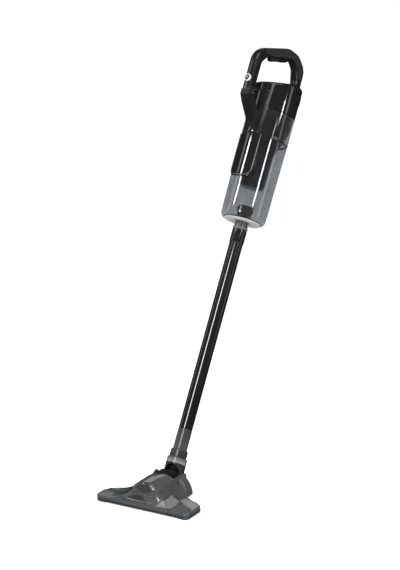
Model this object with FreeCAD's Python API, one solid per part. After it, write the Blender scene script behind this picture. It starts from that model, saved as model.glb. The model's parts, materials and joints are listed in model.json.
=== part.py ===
"""Cordless stick vacuum: handheld unit with a loop handle and clear dust bin, a straight wand,
a swivelling neck and a flat floor head. Millimetres, +Z up, front of the floor head towards -Y.
Origin: on the floor plane, on the head's middle plane, 50 mm behind the head's front edge."""
import FreeCAD, Part
import math
import os

os.makedirs("parts", exist_ok=True)
V = FreeCAD.Vector

# ---------------------------------------------------------------- driving dimensions
LEAN = 31.68            # lean of the stick from upright, degrees
TWIST = -14.5           # handheld unit turned about the stick axis relative to the head, degrees
PIVOT = (0.0, 105.3, 38.9)   # neck pitch axis

GAP = 0.3               # clearance between different bodies
RUN = 0.05              # radial running clearance

# heights along the stick, measured from the neck pivot
S_COLLAR_TOP = 45.0
S_RING_TOP = 66.0
S_WAND_BOT = 118.8     # lower end of the wand, on the neck's shoulder
S_SPIGOT_TOP = 152.0
S_WAND_TOP = 645.0
S_SLEEVE_BOT = 612.0
S_BIN_BOT = 670.0
S_BIN_TOP = 881.7
S_SEAM_TOP = 886.0
S_SHROUD_TOP = 957.0
S_HOUSING_TOP = 1041.0
S_HOUSING_FRONT = 1027.0   # the top slopes down to the front

R_TUBE = 17.5           # 35 mm wand
R_TUBE_IN = 16.0
R_NECK = 17.8
R_RING = 21.6
R_COLLAR = 25.5
R_BALL = 21.5
R_BIN_TOP = 61.3
R_BIN_BOT = 58.5
BIN_WALL = 2.2
R_BASE = 48.0
R_HOUSING = 62.0
HOUSING_WALL = 2.6
HANDLE_W = 25.0         # width of the loop handle
HANDLE_WALL = 2.4

# floor head
HEAD_W = 262.0
HEAD_FRONT = -50.0
HEAD_SIDE_REAR = 16.0
HEAD_REAR = 42.0
PLATE_T = 16.0
WHEEL_R = 15.0
WHEEL_T = 8.0
WHEEL_X = 45.0
WHEEL_Y = 96.0


# ---------------------------------------------------------------- helpers
def cyl(r, z0, z1, x=0.0, y=0.0):
    return Part.makeCylinder(r, z1 - z0, V(x, y, z0), V(0, 0, 1))


def tube(ro, ri, z0, z1):
    return cyl(ro, z0, z1).cut(cyl(ri, z0 - 1, z1 + 1))


def box(x0, x1, y0, y1, z0, z1):
    return Part.makeBox(x1 - x0, y1 - y0, z1 - z0, V(x0, y0, z0))


def rev(pts, deg=360.0, start=0.0):
    """Solid of revolution about Z from a closed (r, z) polygon."""
    w = Part.makePolygon([V(r, 0, z) for r, z in pts] + [V(pts[0][0], 0, pts[0][1])])
    s = Part.Face(w).revolve(V(0, 0, 0), V(0, 0, 1), deg)
    if start:
        s.rotate(V(0, 0, 0), V(0, 0, 1), start)
    return s


def round_poly(pts, radii):
    """Closed wire through 3-D points lying in one plane, each corner rounded by its radius."""
    n = len(pts)
    P = [V(*p) for p in pts]
    edges, ends = [], []
    for i in range(n):
        a, b, c = P[i - 1], P[i], P[(i + 1) % n]
        u = (a - b)
        v = (c - b)
        lu, lv = u.Length, v.Length
        u.normalize()
        v.normalize()
        ang = math.acos(max(-1.0, min(1.0, u.dot(v))))
        r = radii[i] if isinstance(radii, (list, tuple)) else radii
        if r <= 0 or abs(ang - math.pi) < 1e-3:
            ends.append((b, b, None))
            continue
        t = r / math.tan(ang / 2)
        lim = 0.48 * min(lu, lv)
        if t > lim:
            t = lim
            r = t * math.tan(ang / 2)
        p1 = b + u * t
        p2 = b + v * t
        w = (u + v)
        w.normalize()
        cen = b + w * (r / math.sin(ang / 2))
        mid = cen - w * r
        ends.append((p1, p2, mid))
    for i in range(n):
        p1, p2, mid = ends[i]
        q = ends[(i + 1) % n][0]
        if mid is not None:
            edges.append(Part.Arc(p1, mid, p2).toShape())
        if (q - p2).Length > 1e-6:
            edges.append(Part.LineSegment(p2, q).toShape())
    return Part.Wire(edges)


def prism_x(pts_qs, radii, x0, x1):
    """Prism along x from a profile given as (forward q, height s); forward is -y."""
    w = round_poly([(x0, -q, s) for q, s in pts_qs], radii)
    return Part.Face(w).extrude(V(x1 - x0, 0, 0))


def prism_z(pts_xy, radii, z0, z1):
    w = round_poly([(x, y, z0) for x, y in pts_xy], radii)
    return Part.Face(w).extrude(V(0, 0, z1 - z0))


def rrect(hx, y0, y1, r, z):
    return round_poly([(-hx, y0, z), (hx, y0, z), (hx, y1, z), (-hx, y1, z)], r)


def loft(wires, ruled=False):
    s = Part.makeLoft(wires, True, ruled)
    if s.Volume < 0:
        s.reverse()
    return s


def fillet(shape, r, test):
    es = [e for e in shape.Edges if test(e)]
    for rr in (r, r * 0.6, r * 0.3):
        try:
            s = shape.makeFillet(rr, es)
            if s.isValid() and s.Volume > 0:
                return s
        except Exception:
            pass
    return shape


def in_stick(shape):
    s = shape.copy()
    s.rotate(V(0, 0, 0), V(1, 0, 0), -LEAN)
    s.translate(V(*PIVOT))
    return s


def in_unit(shape):
    s = shape.copy()
    s.rotate(V(0, 0, 0), V(0, 0, 1), TWIST)
    return in_stick(s)


count = 0


def out(name, *shapes):
    global count
    solids = []
    for sh in shapes:
        solids += sh.Solids
    for s in solids:
        if not s.isValid() or s.Volume <= 0:
            print("CHECK", name, s.isValid(), s.Volume)
    obj = solids[0] if len(solids) == 1 else Part.makeCompound(solids)
    obj.exportStep("parts/%s.step" % name)
    count += 1
    b = obj.BoundBox
    print("%-22s %2d solids  x %.1f..%.1f y %.1f..%.1f z %.1f..%.1f" % (
        name, len(solids), b.XMin, b.XMax, b.YMin, b.YMax, b.ZMin, b.ZMax))


# ================================================================ handheld unit
# motor housing: glossy drum, open below, rounded shoulder at the front, chamfer behind
h_out = rev([(0, 958), (R_HOUSING, 958), (R_HOUSING, 1031), (R_HOUSING - 1.6, 1035.5), (R_HOUSING - 5.5, 1039.4),
             (R_HOUSING - 10, S_HOUSING_TOP), (0, S_HOUSING_TOP)])
slope = prism_x([(0, S_HOUSING_TOP), (80, S_HOUSING_FRONT - 4.5), (80, 1060), (0, 1060)], 0, -80, 80)
h_out = h_out.cut(slope)
h_out = fillet(h_out, 4.0, lambda e: e.CenterOfMass.y < -2 and e.BoundBox.ZMin > 1015 and e.BoundBox.XMax - e.BoundBox.XMin > 60
               and e.CenterOfMass.y < -20)
h_in = cyl(R_HOUSING - HOUSING_WALL, 957, 1019).fuse(
    cyl(R_HOUSING - 12, 1018, S_HOUSING_TOP - 3).cut(slope.translated(V(0, 0, -3))))
vent = rev([(R_HOUSING - HOUSING_WALL - 0.2, 1001.8), (R_HOUSING + 5, 1001.8), (R_HOUSING + 5, 1018.2),
            (R_HOUSING - HOUSING_WALL - 0.2, 1018.2)], 116, 32)
housing = h_out.cut(h_in).cut(vent)
out("motor_housing", in_unit(housing))

# slotted exhaust cover let into the back of the housing
cover = rev([(R_HOUSING - HOUSING_WALL, 1002), (R_HOUSING, 1002), (R_HOUSING, 1018), (R_HOUSING - HOUSING_WALL, 1018)], 115, 32.5)
for k in range(17):
    slot = box(50, 66, -1.5, 1.5, 1005, 1015)
    slot.rotate(V(0, 0, 0), V(0, 0, 1), 38 + 6.5 * k)
    if k not in (7, 8, 9):
        cover = cover.cut(slot)
out("exhaust_cover", in_unit(cover))

# clear cyclone shroud, fixed to the unit
out("cyclone_shroud", in_unit(tube(R_HOUSING - 0.4, R_HOUSING - 0.4 - BIN_WALL, S_SEAM_TOP, 958)))
seam = tube(R_HOUSING + 0.3, R_HOUSING - 3.2, 882.0, S_SEAM_TOP)
lat_a = -90 + 64.0     # bin latch direction, from +x of the unit
pocket = box(R_HOUSING - 2.0, R_HOUSING + 6, -7.3, 7.3, 880, 890)
pocket.rotate(V(0, 0, 0), V(0, 0, 1), lat_a)
latch_base = box(R_HOUSING - 1.9, R_HOUSING + 1.2, -9.5, 9.5, 882, 893).cut(
    box(R_HOUSING - 0.6, R_HOUSING + 6, -7.3, 7.3, 882.9, 891.5))
latch_base.rotate(V(0, 0, 0), V(0, 0, 1), lat_a)
latch_base = latch_base.cut(cyl(R_HOUSING - 0.4, S_SEAM_TOP, 900))
out("seam_ring", in_unit(seam.cut(pocket).fuse(latch_base)))
latch = box(R_HOUSING + 0.4, R_HOUSING + 2.9, -7.0, 7.0, 883.3, 891.2)
latch = fillet(latch, 1.0, lambda e: e.CenterOfMass.x > R_HOUSING + 2.7)
latch.rotate(V(0, 0, 0), V(0, 0, 1), lat_a)
out("bin_latch", in_unit(latch))

# cyclone: cone, mesh tube, tip
cone = rev([(58.8, 956), (58.8, 930), (57.6, 920), (37, 866), (32.5, 843), (32.5, 840.2), (29.5, 840.2),
            (29.5, 843), (34, 867), (54.6, 921), (55.8, 930), (55.8, 956)])
out("cyclone_cone", in_unit(cone))
out("filter_mesh", in_unit(tube(32.0, 30.2, 785.0, 840.2)))
out("filter_tip", in_unit(rev([(0, 757), (24, 757), (29, 759), (31.5, 764), (31.5, 785), (29, 785),
                               (29, 766), (27, 761.5), (0, 760)])))
out("foam_filter", in_unit(tube(53.0, 12.0, 926.0, 942.0)))
out("bin_seal", in_unit(tube(R_HOUSING - 3.5, R_HOUSING - 6.2, 882.3, 887.5)))

# motor, its rubber mounts, fan, exhaust filter, battery ring, control board
out("motor_can", in_unit(tube(24.0, 3.2, 978, 1022)))
out("motor_mounts", in_unit(tube(27.5, 24.0, 980, 985)), in_unit(tube(27.5, 24.0, 1014, 1019)))
out("fan_shroud", in_unit(tube(34.5, 32.0, 956.5, 974).fuse(tube(34.5, 27.5, 974, 977.5)).fuse(
    tube(27.6 + 2.2, 27.5, 977.5, 1021))))
fan = cyl(30.5, 970, 972.5).fuse(cyl(7, 962, 970))
for k in range(9):
    b = box(5, 29.5, -0.8, 0.8, 963, 970.5)
    b.rotate(V(0, 0, 0), V(0, 0, 1), 40 * k)
    fan = fan.fuse(b)
fan = fan.cut(cyl(2.4, 950, 980))
out("impeller", in_unit(fan))
out("motor_shaft", in_unit(cyl(2.4, 961, 1026)))
cells = []
for k in range(6):
    a = math.radians(-90 + (-75 + 30 * k))
    cells.append(in_unit(cyl(9.1, 962, 1017, 47.5 * math.cos(a), 47.5 * math.sin(a))))
out("battery_cells", *cells)
hepa = rev([(37, 964), (56, 964), (56, 1006), (37, 1006)], 104, 38)
out("exhaust_filter", in_unit(hepa))
out("control_board", in_unit(tube(46.0, 31.0, 1020.5, 1022.1)))

# front tongue: proud glossy panel that reaches down over the bin
t_a = 37.0
tongue = rev([(R_HOUSING, 771), (R_HOUSING + 2.4, 771), (R_HOUSING + 2.4, 884), (R_HOUSING + 0.4, 886.0),
              (R_HOUSING + 0.4, 882), (R_HOUSING, 882)], 2 * t_a, -90 - t_a)
# U-shaped lower edge
half = R_HOUSING * math.sin(math.radians(t_a))
frame_w = round_poly([(-half, -80, 771), (half, -80, 771), (half, -80, 900), (-half, -80, 900)], [26, 26, 0.0, 0.0])
tongue = tongue.common(Part.Face(frame_w).extrude(V(0, 60, 0)))
out("front_panel", in_unit(tongue))

# saddle: thick front pad joining the handle base to the drum
saddle = rev([(R_HOUSING, 886.5), (R_HOUSING + 2.6, 886.5), (R_HOUSING + 3.2, 905), (R_HOUSING + 3.2, 1000),
              (R_HOUSING + 0.02, 1008), (R_HOUSING, 1008)], 50, -115)
out("saddle", in_unit(saddle.cut(box(-14.2, 14.2, -90, -55, 895, 1010))))

# handle base: slanted block between the drum and the front leg
base_solid = prism_x([(119, 984), (118.5, 971), (108, 957), (72, 917.5), (62.2, 900), (62.2, 943), (66, 944.5),
                      (86, 964.5), (95.6, 976), (95.6, 984)],
                     [0, 6, 8, 10, 0, 0, 6, 8, 4, 0], -14.0, 14.0)
base_solid = base_solid.cut(cyl(R_HOUSING + 0.0, 880, 1000))
base_solid = base_solid.cut(prism_x([(115, 980), (106, 962), (74, 927), (68, 932), (90, 960), (99, 976)],
                                    2.0, -11.0, 11.0))
out("handle_base", in_unit(base_solid))

# loop handle, split on its middle plane
LOOP_OUT = [(120, 984.5), (120, 1077), (103, 1100), (8, 1136.4), (-31, 1133.5), (-66, 1107), (-68, 1060), (-68, 1028),
            (-58, 1022), (-40, S_HOUSING_TOP - 3), (-44, S_HOUSING_TOP), (-47, 1066), (-36, 1097), (-14, 1114.8),
            (82, 1082.5), (96.5, 1064), (96.5, 984.5)]
R_OUT = [0, 20, 22, 30, 30, 30, 40, 4, 2, 0, 4, 14, 14, 12, 11, 14, 0]
LOOP_IN = [(117.5, 987), (117.5, 1076), (101.5, 1097.3), (7.5, 1133.6), (-30, 1130.6), (-63.3, 1105.5), (-65, 1062),
           (-50, 1062), (-50, 1067), (-38, 1099.5), (-13.5, 1118.0), (83.5, 1085.5), (99, 1065), (99, 987)]
R_IN = [2, 18, 20, 28, 28, 28, 2, 2, 12, 12, 10, 9, 12, 2]
W2 = HANDLE_W / 2
loop = prism_x(LOOP_OUT, R_OUT, -W2, W2)
loop = loop.cut(cyl(R_HOUSING, 900, 1031).fuse(cyl(R_HOUSING - 10, 1030, S_HOUSING_TOP))).cut(h_out)
loop = fillet(loop, 6.0, lambda e: abs(abs(e.CenterOfMass.x) - W2) < 0.01 and e.BoundBox.ZMax > 990 and e.Length > 8
              and e.CenterOfMass.z > 1000)
cavity = prism_x(LOOP_IN, R_IN, -W2 + HANDLE_WALL, W2 - HANDLE_WALL)
# trigger well and button bore
well = prism_x([(66, 1078), (-17, 1104), (-17, 1122), (66, 1100)], 0, -8.4, 8.4)
BTN_S = 1013.4
ring_bore = Part.makeCylinder(9.6, 8, V(0, -121, BTN_S), V(0, 1, 0))
lo = loop.cut(cavity).cut(well).cut(ring_bore)
screws = []
for q, s in [(108, 995), (108, 1055), (93, 1093), (-51, 1110), (-57, 1075)]:
    b = Part.makeCylinder(2.6, 1.6, V(-W2 + 0.4, -q, s), V(1, 0, 0)).fuse(
        Part.makeCylinder(1.4, 12, V(-W2 + 0.4, -q, s), V(1, 0, 0)))
    screws.append(b)
    lo = lo.cut(b).cut(Part.makeCylinder(2.6, 1.0, V(-W2 - 0.5, -q, s), V(1, 0, 0)))
TP_Q, TP_S = -6.5, 1114.0
lo = lo.cut(Part.makeCylinder(1.5, 2 * (W2 - HANDLE_WALL) + 2.4, V(-W2 + HANDLE_WALL - 1.2, -TP_Q, TP_S), V(1, 0, 0)))
left = lo.common(box(-30, 0, -140, 90, 960, 1160))
right = lo.common(box(0, 30, -140, 90, 960, 1160))
out("handle_left", in_unit(left))
out("handle_right", in_unit(right))

# soft grip on top of the loop
grip_top = prism_x([(90, 1107.0), (8, 1138.6), (-32, 1135.9), (-57, 1117.5), (-54, 1113), (-34, 1128), (8, 1130), (88, 1100)],
                   [2, 30, 30, 3, 2, 28, 30, 2], -W2 + 1.0, W2 - 1.0)
grip = grip_top.cut(loop)
grip = fillet(grip, 0.9, lambda e: abs(abs(e.CenterOfMass.x) - (W2 - 1.0)) < 0.01)
out("grip_pad", in_unit(grip))

# trigger under the grip, hinged at its rear end
trig = prism_x([(63.5, 1086), (61, 1082.2), (36, 1089.5), (10, 1099.5), (-6, 1108), (-12, 1112), (-11.5, 1117.5),
                (8, 1110.5), (36, 1100), (63.5, 1091)],
               [2, 4, 16, 12, 8, 4, 2, 8, 8, 2], -7.6, 7.6)
trig = fillet(trig, 1.6, lambda e: abs(abs(e.CenterOfMass.x) - 7.6) < 0.01)
trig = trig.cut(Part.makeCylinder(1.55, 40, V(-20, -TP_Q, TP_S), V(1, 0, 0)))
out("trigger", in_unit(trig))
out("trigger_pin", in_unit(Part.makeCylinder(1.5, 2 * (W2 - HANDLE_WALL) + 2.4, V(-W2 + HANDLE_WALL - 1.2, -TP_Q, TP_S), V(1, 0, 0))))
spring = Part.makeCylinder(2.2, 7.0, V(0, -22, 1112.5), V(0, 0, 1)).cut(Part.makeCylinder(1.6, 20, V(0, -22, 1110), V(0, 0, 1)))
out("trigger_spring", in_unit(spring))

# power button with its bright ring
out("button_ring", in_unit(Part.makeCylinder(9.5, 7.0, V(0, -124.2, BTN_S), V(0, 1, 0)).cut(
    Part.makeCylinder(7.4, 20, V(0, -130, BTN_S), V(0, 1, 0)))))
btn = Part.makeCylinder(7.1, 6.5, V(0, -125.0, BTN_S), V(0, 1, 0))
btn = fillet(btn, 0.8, lambda e: e.CenterOfMass.y < -124.9)
out("power_button", in_unit(btn))
out("micro_switches", in_unit(box(-4, 4, -116.0, -109.5, BTN_S - 4, BTN_S + 4)),
    in_unit(box(-4, 4, -52, -38, 1106.5, 1113.0)))

# ================================================================ dust bin
bin_out = rev([(0, S_BIN_BOT), (49.5, S_BIN_BOT), (54.5, S_BIN_BOT + 1.6), (57.3, S_BIN_BOT + 5.0),
               (R_BIN_BOT, S_BIN_BOT + 10), (R_BIN_TOP, S_BIN_TOP), (0, S_BIN_TOP)])
bin_in = rev([(0, S_BIN_BOT + 2.4), (49.5, S_BIN_BOT + 2.4), (53.5, S_BIN_BOT + 4.2), (55.6, S_BIN_BOT + 7),
              (R_BIN_BOT - BIN_WALL, S_BIN_BOT + 12), (R_BIN_TOP - BIN_WALL, S_BIN_TOP + 1), (0, S_BIN_TOP + 1)])
bin_sh = bin_out.cut(bin_in).cut(cyl(46.0, 660, 680))
out("dust_bin", in_unit(bin_sh))
base = cyl(R_BASE, S_BIN_BOT - 2.5, S_BIN_BOT).fuse(cyl(46.0, S_BIN_BOT, S_BIN_BOT + 2.2)).cut(cyl(17.7, 660, 680))
base = fillet(base, 1.0, lambda e: abs(e.CenterOfMass.z - (S_BIN_BOT - 2.5)) < 0.01 and e.BoundBox.XMax > 40)
out("bin_base", in_unit(base))
inlet = rev([(14.2, 600), (R_TUBE_IN - RUN, 600), (R_TUBE_IN - RUN, 646.2), (17.7, 646.2), (17.7, 687), (21.0, 690),
             (21.0, 704), (19.5, 705), (17.0, 705), (17.0, 690), (14.2, 686)])
out("inlet_pipe", in_unit(inlet))
out("inlet_flap", in_unit(Part.makeCylinder(19.0, 1.6, V(0, 0, 706.2), V(0, 0, 1))))
out("inlet_collar", in_unit(tube(19.4, 17.7, 647.0, 652.5)))

# ================================================================ wand
out("wand_tube", in_stick(tube(R_TUBE, R_TUBE_IN, S_WAND_BOT, S_WAND_TOP)))
sleeve = tube(R_TUBE + 1.2, R_TUBE, S_SLEEVE_BOT, S_WAND_TOP)
boss = box(-8.5, 8.5, 10, 22.6, 614, 641).cut(cyl(R_TUBE, 600, 650))
boss = fillet(boss, 1.5, lambda e: e.CenterOfMass.y > 22.5)
sleeve = sleeve.fuse(boss).cut(box(-6.3, 6.3, 18.4, 30, 617.7, 637.3))
out("wand_sleeve", in_stick(sleeve))
wb = box(-6.0, 6.0, 20.6, 24.2, 618.0, 637.0)
wb = fillet(wb, 1.0, lambda e: e.CenterOfMass.y > 24.1)
out("wand_button", in_stick(wb))

# ================================================================ neck
sock = rev([(13.8, S_RING_TOP), (R_NECK, S_RING_TOP), (R_NECK, S_WAND_BOT - GAP - 1.0), (R_NECK - 0.8, S_WAND_BOT - GAP),
            (R_TUBE_IN - RUN, S_WAND_BOT - GAP), (R_TUBE_IN - RUN, S_SPIGOT_TOP - 1.5), (R_TUBE_IN - 1.5, S_SPIGOT_TOP), (13.8, S_SPIGOT_TOP)])
out("neck_socket", in_stick(sock))
ring = rev([(13.8, 31.0), (20.0 - RUN, 31.0), (20.0 - RUN, S_COLLAR_TOP + GAP), (R_RING - 0.6, S_COLLAR_TOP + GAP), (R_RING, S_COLLAR_TOP + 1.5),
            (R_RING, S_RING_TOP - 2), (R_RING - 2, S_RING_TOP), (13.8, S_RING_TOP)])
out("swivel_ring", in_stick(ring))

col = rev([(22.6, -14), (R_COLLAR, -14), (R_COLLAR, S_COLLAR_TOP - 1.2), (R_COLLAR - 1.2, S_COLLAR_TOP), (20.0, S_COLLAR_TOP),
           (20.0, 31.0), (22.6, 31.0)])
# front and lower opening for the duct; two ears stay at the sides and a skirt behind
arch = Part.makeCylinder(25.0, 60, V(0, 0, 1.0), V(0, -1, 0))
col = col.cut(arch).cut(box(-40, 40, -40, -1, -30, 1.0)).cut(box(-40, 40, 12.5, 40, -30, 14))
col = col.cut(Part.makeCylinder(28, 60, V(0, 0, 0), V(0, 1, 0)).common(box(-17, 17, -1, 60, -30, 22)))
ears = []
for sgn in (-1, 1):
    ear = Part.makeCylinder(12.0, 2.9, V(22.6 if sgn > 0 else -25.5, 0, 0), V(1, 0, 0))
    web = box(22.6 if sgn > 0 else -25.5, 25.5 if sgn > 0 else -22.6, -10, 10, 0, 30)
    ears.append(ear.fuse(web))
col = col.fuse(ears[0]).fuse(ears[1]).cut(cyl(22.6, -20, 30.9))
col = col.cut(Part.makeCylinder(4.0 + RUN, 80, V(-40, 0, 0), V(1, 0, 0)))
out("neck_collar", in_stick(col))
# ribbed ball elbow inside the collar
prof = [(13.5, -8.0)]
n = 12
for i in range(2 * n + 1):
    z = -14.0 + (26.0) * i / (2 * n)
    r = math.sqrt(R_BALL ** 2 - z * z) - (0.9 if i % 2 else 0.0)
    prof.append((r, z))
prof += [(14.8, 14.0), (14.8, 27.5), (12.5, 27.5), (12.5, -8.0)]
ball = rev([(12.5, -14.0)] + prof[1:-1])
out("elbow_bellows", in_stick(ball.cut(Part.makeCylinder(12.5, 60, V(0, 0, 0), V(0, -1, -0.62)))
    .cut(Part.makeCylinder(4.3, 80, V(-40, 0, 0), V(1, 0, 0)))))

# ================================================================ floor head
HX = HEAD_W / 2
OUTLINE = [(-HX, HEAD_FRONT), (HX, HEAD_FRONT), (HX, HEAD_SIDE_REAR), (HX - 20, 31), (70, HEAD_REAR), (-70, HEAD_REAR),
           (-HX + 20, 31), (-HX, HEAD_SIDE_REAR)]
OR = [12, 12, 6, 14, 10, 10, 14, 6]


def inset(d):
    return [(-HX + d, HEAD_FRONT + d), (HX - d, HEAD_FRONT + d), (HX - d, HEAD_SIDE_REAR - d * 0.4), (HX - 20 - d * 0.6, 31 - d),
            (70, HEAD_REAR - d), (-70, HEAD_REAR - d), (-HX + 20 + d * 0.6, 31 - d), (-HX + d, HEAD_SIDE_REAR - d * 0.4)]


SECT = [(13.0, 66, -46, 60, 20), (24.0, 56, -42, 62, 18), (38.0, 40, -35, 63, 16), (52.0, 31, -30, 62, 14), (61.0, 26, -25, 50, 13)]
dome_o = loft([rrect(hx, a, b, r, z) for z, hx, a, b, r in SECT])
dome_i = loft([rrect(hx - 2.6, a + 2.6, b - 2.6, max(r - 2.6, 3), z - (2.6 if k else 1.0))
                        for k, (z, hx, a, b, r) in enumerate(SECT)])
plate_o = prism_z(OUTLINE, OR, 9.0, PLATE_T)
plate_o = fillet(plate_o, 2.0, lambda e: abs(e.CenterOfMass.z - PLATE_T) < 0.01)
plate_i = prism_z(inset(2.6), [10, 10, 4, 12, 8, 8, 12, 4], 8.0, PLATE_T - 2.4)
shell = plate_o.fuse(dome_o).cut(plate_i).cut(dome_i)
# opening at the back of the dome for the duct, seat for the cap and window
shell = shell.cut(Part.makeCylinder(20.8, 60, V(0, 40, 39), V(0, 1, 0)))
shell = shell.cut(box(-60, 60, -100, 120, -5, 9.0))
PED_X = -12.5
shell = shell.cut(box(PED_X - 9.3, PED_X + 9.3, 33.5, 75, 49, 90))
shell = shell.cut(box(-32.1, -26.0, 50, 125, 8, 60)).cut(box(26.0, 32.1, 50, 125, 8, 60))
shell = shell.cut(Part.makeCylinder(2.0, 22, V(PED_X - 11, 46.0, 58.0), V(1, 0, 0)))
out("head_cover", shell)

# glossy cap on top of the dome
cap_o = loft([rrect(25.7, -24.7, 33.3, 12.5, 61.0), rrect(23.5, -22.0, 33.2, 12.0, 63.6), rrect(18.0, -17.0, 33.0, 9.0, 65.0)])
out("dome_cap", cap_o)
win = loft([round_poly([(-23, -36.6, 38.5), (23, -36.6, 38.5), (23, -30.0, 38.5), (-23, -30.0, 38.5)], 2.0),
                     round_poly([(-21.5, -28.9, 60), (21.5, -28.9, 60), (21.5, -22.6, 60), (-21.5, -22.6, 60)], 2.0)], True)
out("front_window", win.cut(dome_o))

# chassis: lower rim, inner floor and fork for the neck
ch = prism_z(OUTLINE, OR, 3.0, 9.0).cut(prism_z(inset(3.0), [9, 9, 3, 11, 7, 7, 11, 3], 5.0, 12.0))
slot = box(-104, 104, -37, -15, 2, 6)
ch = ch.cut(slot)
ch = ch.cut(box(-102, 102, HEAD_FRONT - 1, -38.5, 2, 4.6))
ch = ch.cut(box(-100.6, 100.6, -12.4, -4.2, 2, 6))
tail = box(-31.9, 31.9, 36, 62, 5, 9.0)
tail = fillet(tail, 4.0, lambda e: abs(e.CenterOfMass.y - 62) < 0.01 and abs(e.CenterOfMass.z - 7) < 0.1)
out("head_chassis", ch.fuse(tail))

forks = []
for sgn in (-1, 1):
    prof = round_poly([(0, 50.6, 9.0), (0, 102, 9.0), (0, 117.5, 26), (0, 117.5, 45), (0, 108, 50.5), (0, 50.6, 49.5)], [1, 8, 11, 6, 8, 1])
    f = Part.Face(prof).extrude(V(5.6, 0, 0))
    f.translate(V(26.2 if sgn > 0 else -31.8, 0, 0))
    f = f.cut(Part.makeCylinder(4.0, 80, V(-40, PIVOT[1], PIVOT[2]), V(1, 0, 0)))
    f = f.cut(Part.makeCylinder(3.0, 80, V(-40, WHEEL_Y, WHEEL_R), V(1, 0, 0)))
    forks.append(f)
out("fork_arms", *forks)
pins = [Part.makeCylinder(4.0, 9.2, V(x, PIVOT[1], PIVOT[2]), V(1, 0, 0)) for x in (22.8, -32.0)]
out("pivot_pins", *pins)

# suction duct inside the head
YA = V(0, 1, 0)
def dcyl(r, y0, y1):
    return Part.makeCylinder(r, y1 - y0, V(0, y0, PIVOT[2]), YA)


duct = dcyl(13.8, 18, 68).fuse(Part.makeCone(13.8, 20.4, 8, V(0, 66, PIVOT[2]), YA)).fuse(dcyl(20.4, 74, 89.8))
duct = duct.cut(dcyl(12.0, 16, 67.9)).cut(Part.makeCone(12.0, 18.2, 7.6, V(0, 67.8, PIVOT[2]), YA)).cut(dcyl(18.2, 75.3, 95))
duct = duct.cut(Part.makeSphere(R_BALL + 0.5, V(*PIVOT)))
drop = box(-20, 20, 14.5, 18.0, 13.8, 54).fuse(box(-22, 22, -34, 18.0, 34, 37)).fuse(box(-22, -19, -34, 18, 13.8, 34)).fuse(box(19, 22, -34, 18, 13.8, 34))
drop = drop.cut(dcyl(12.0, 10, 30))
duct_all = duct.fuse(drop.common(dome_i))
out("suction_duct", duct_all)

# wheel cheeks, wheels and axle stubs
cheeks, wheels, stubs = {}, {}, []
for sgn, nm in ((-1, "left"), (1, "right")):
    lo_w = round_poly([(sgn * 52.6, 72, 3.0), (sgn * 59.5, 80, 3.0), (sgn * 60, 106, 3.0), (sgn * 52.6, 112, 3.0)], [2, 5, 5, 2])
    hi_w = round_poly([(sgn * 32.0, 84, 45.0), (sgn * 35.0, 87, 45.0), (sgn * 35.2, 109, 45.0), (sgn * 32.0, 112, 45.0)], [1, 1.5, 1.5, 1])
    ck = loft([lo_w, hi_w], True)
    room = Part.makeCylinder(WHEEL_R + 1.2, 9.2, V(sgn * WHEEL_X - 4.6, WHEEL_Y, WHEEL_R), V(1, 0, 0))
    ck = ck.cut(room)
    cheeks[nm] = ck
    axle_x0 = sgn * 26.2
    st = Part.makeCylinder(3.0, 31.0, V(min(axle_x0, axle_x0 + sgn * 31.0), WHEEL_Y, WHEEL_R), V(1, 0, 0))
    stubs.append(st)
    cheeks[nm] = ck.cut(st)
    wh = Part.makeCylinder(WHEEL_R, WHEEL_T, V(sgn * WHEEL_X - WHEEL_T / 2, WHEEL_Y, WHEEL_R), V(1, 0, 0))
    wh = fillet(wh, 1.5, lambda e: True)
    wh = wh.cut(Part.makeCylinder(3.0 + RUN, 40, V(sgn * WHEEL_X - 20, WHEEL_Y, WHEEL_R), V(1, 0, 0)))
    wheels[nm] = wh
out("wheel_left", wheels["left"])
out("wheel_right", wheels["right"])
out("wheel_cheeks", cheeks["left"], cheeks["right"])
out("wheel_axles", *stubs)

# sole plate with its feet, suction slot and brush slot
sole = prism_z(inset(1.5), [11, 11, 5, 13, 9, 9, 13, 5], 0.0, 3.0)
sole = sole.cut(box(-104, 104, -37, -15, -1, 6)).cut(box(-102, 102, HEAD_FRONT - 1, -38.5, -1, 4.6))
sole = sole.cut(box(-100.6, 100.6, -12.4, -4.2, -1, 6))
# thread-lifter grooves beside the suction slot are let into the sole
for x in (-80, -40, 0, 40, 80):
    sole = sole.cut(box(x - 3, x + 3, -39.0, -36.9, -1, 1.6))
scr_pos = [(-110, 5), (110, 5), (-60, 33), (60, 33), (-30, 33), (30, 33)]
for x, y in scr_pos:
    sole = sole.cut(cyl(3.3, 0.6, 3.0, x, y)).cut(cyl(3.3, -1, 1.0, x, y))
out("sole_plate", sole)
out("sole_screws", *[cyl(3.2, 1.0, 3.0, x, y).cut(box(x - 2, x + 2, y - 0.4, y + 0.4, 0.5, 1.7)) for x, y in scr_pos])

# brush strip that the pedal lowers and lifts
out("brush_strip", box(-100, 100, -11.9, -4.7, 5.2, 8.6).fuse(box(-99, 99, -9.5, -7.1, 0.3, 5.2)))
# pedal on the dome, rocking about a cross pin
ped = prism_x([(-34.5, 62.0), (-44, 72.5), (-49, 72.5), (-57, 60.0), (-57, 54.5), (-34.5, 54.5)], [2, 3, 3, 3, 2, 2], PED_X - 8.8, PED_X + 8.8)
ped = fillet(ped, 1.2, lambda e: abs(abs(e.CenterOfMass.x - PED_X) - 8.8) < 0.01)
PPY, PPZ = 46.0, 58.0
ped = ped.cut(Part.makeCylinder(2.0 + RUN, 60, V(-40, PPY, PPZ), V(1, 0, 0)))
out("brush_pedal", ped)
out("pedal_pin", Part.makeCylinder(2.0, 22, V(PED_X - 11, PPY, PPZ), V(1, 0, 0)))
out("handle_screws", *[in_unit(k) for k in screws])
print("nodes", count)
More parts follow.
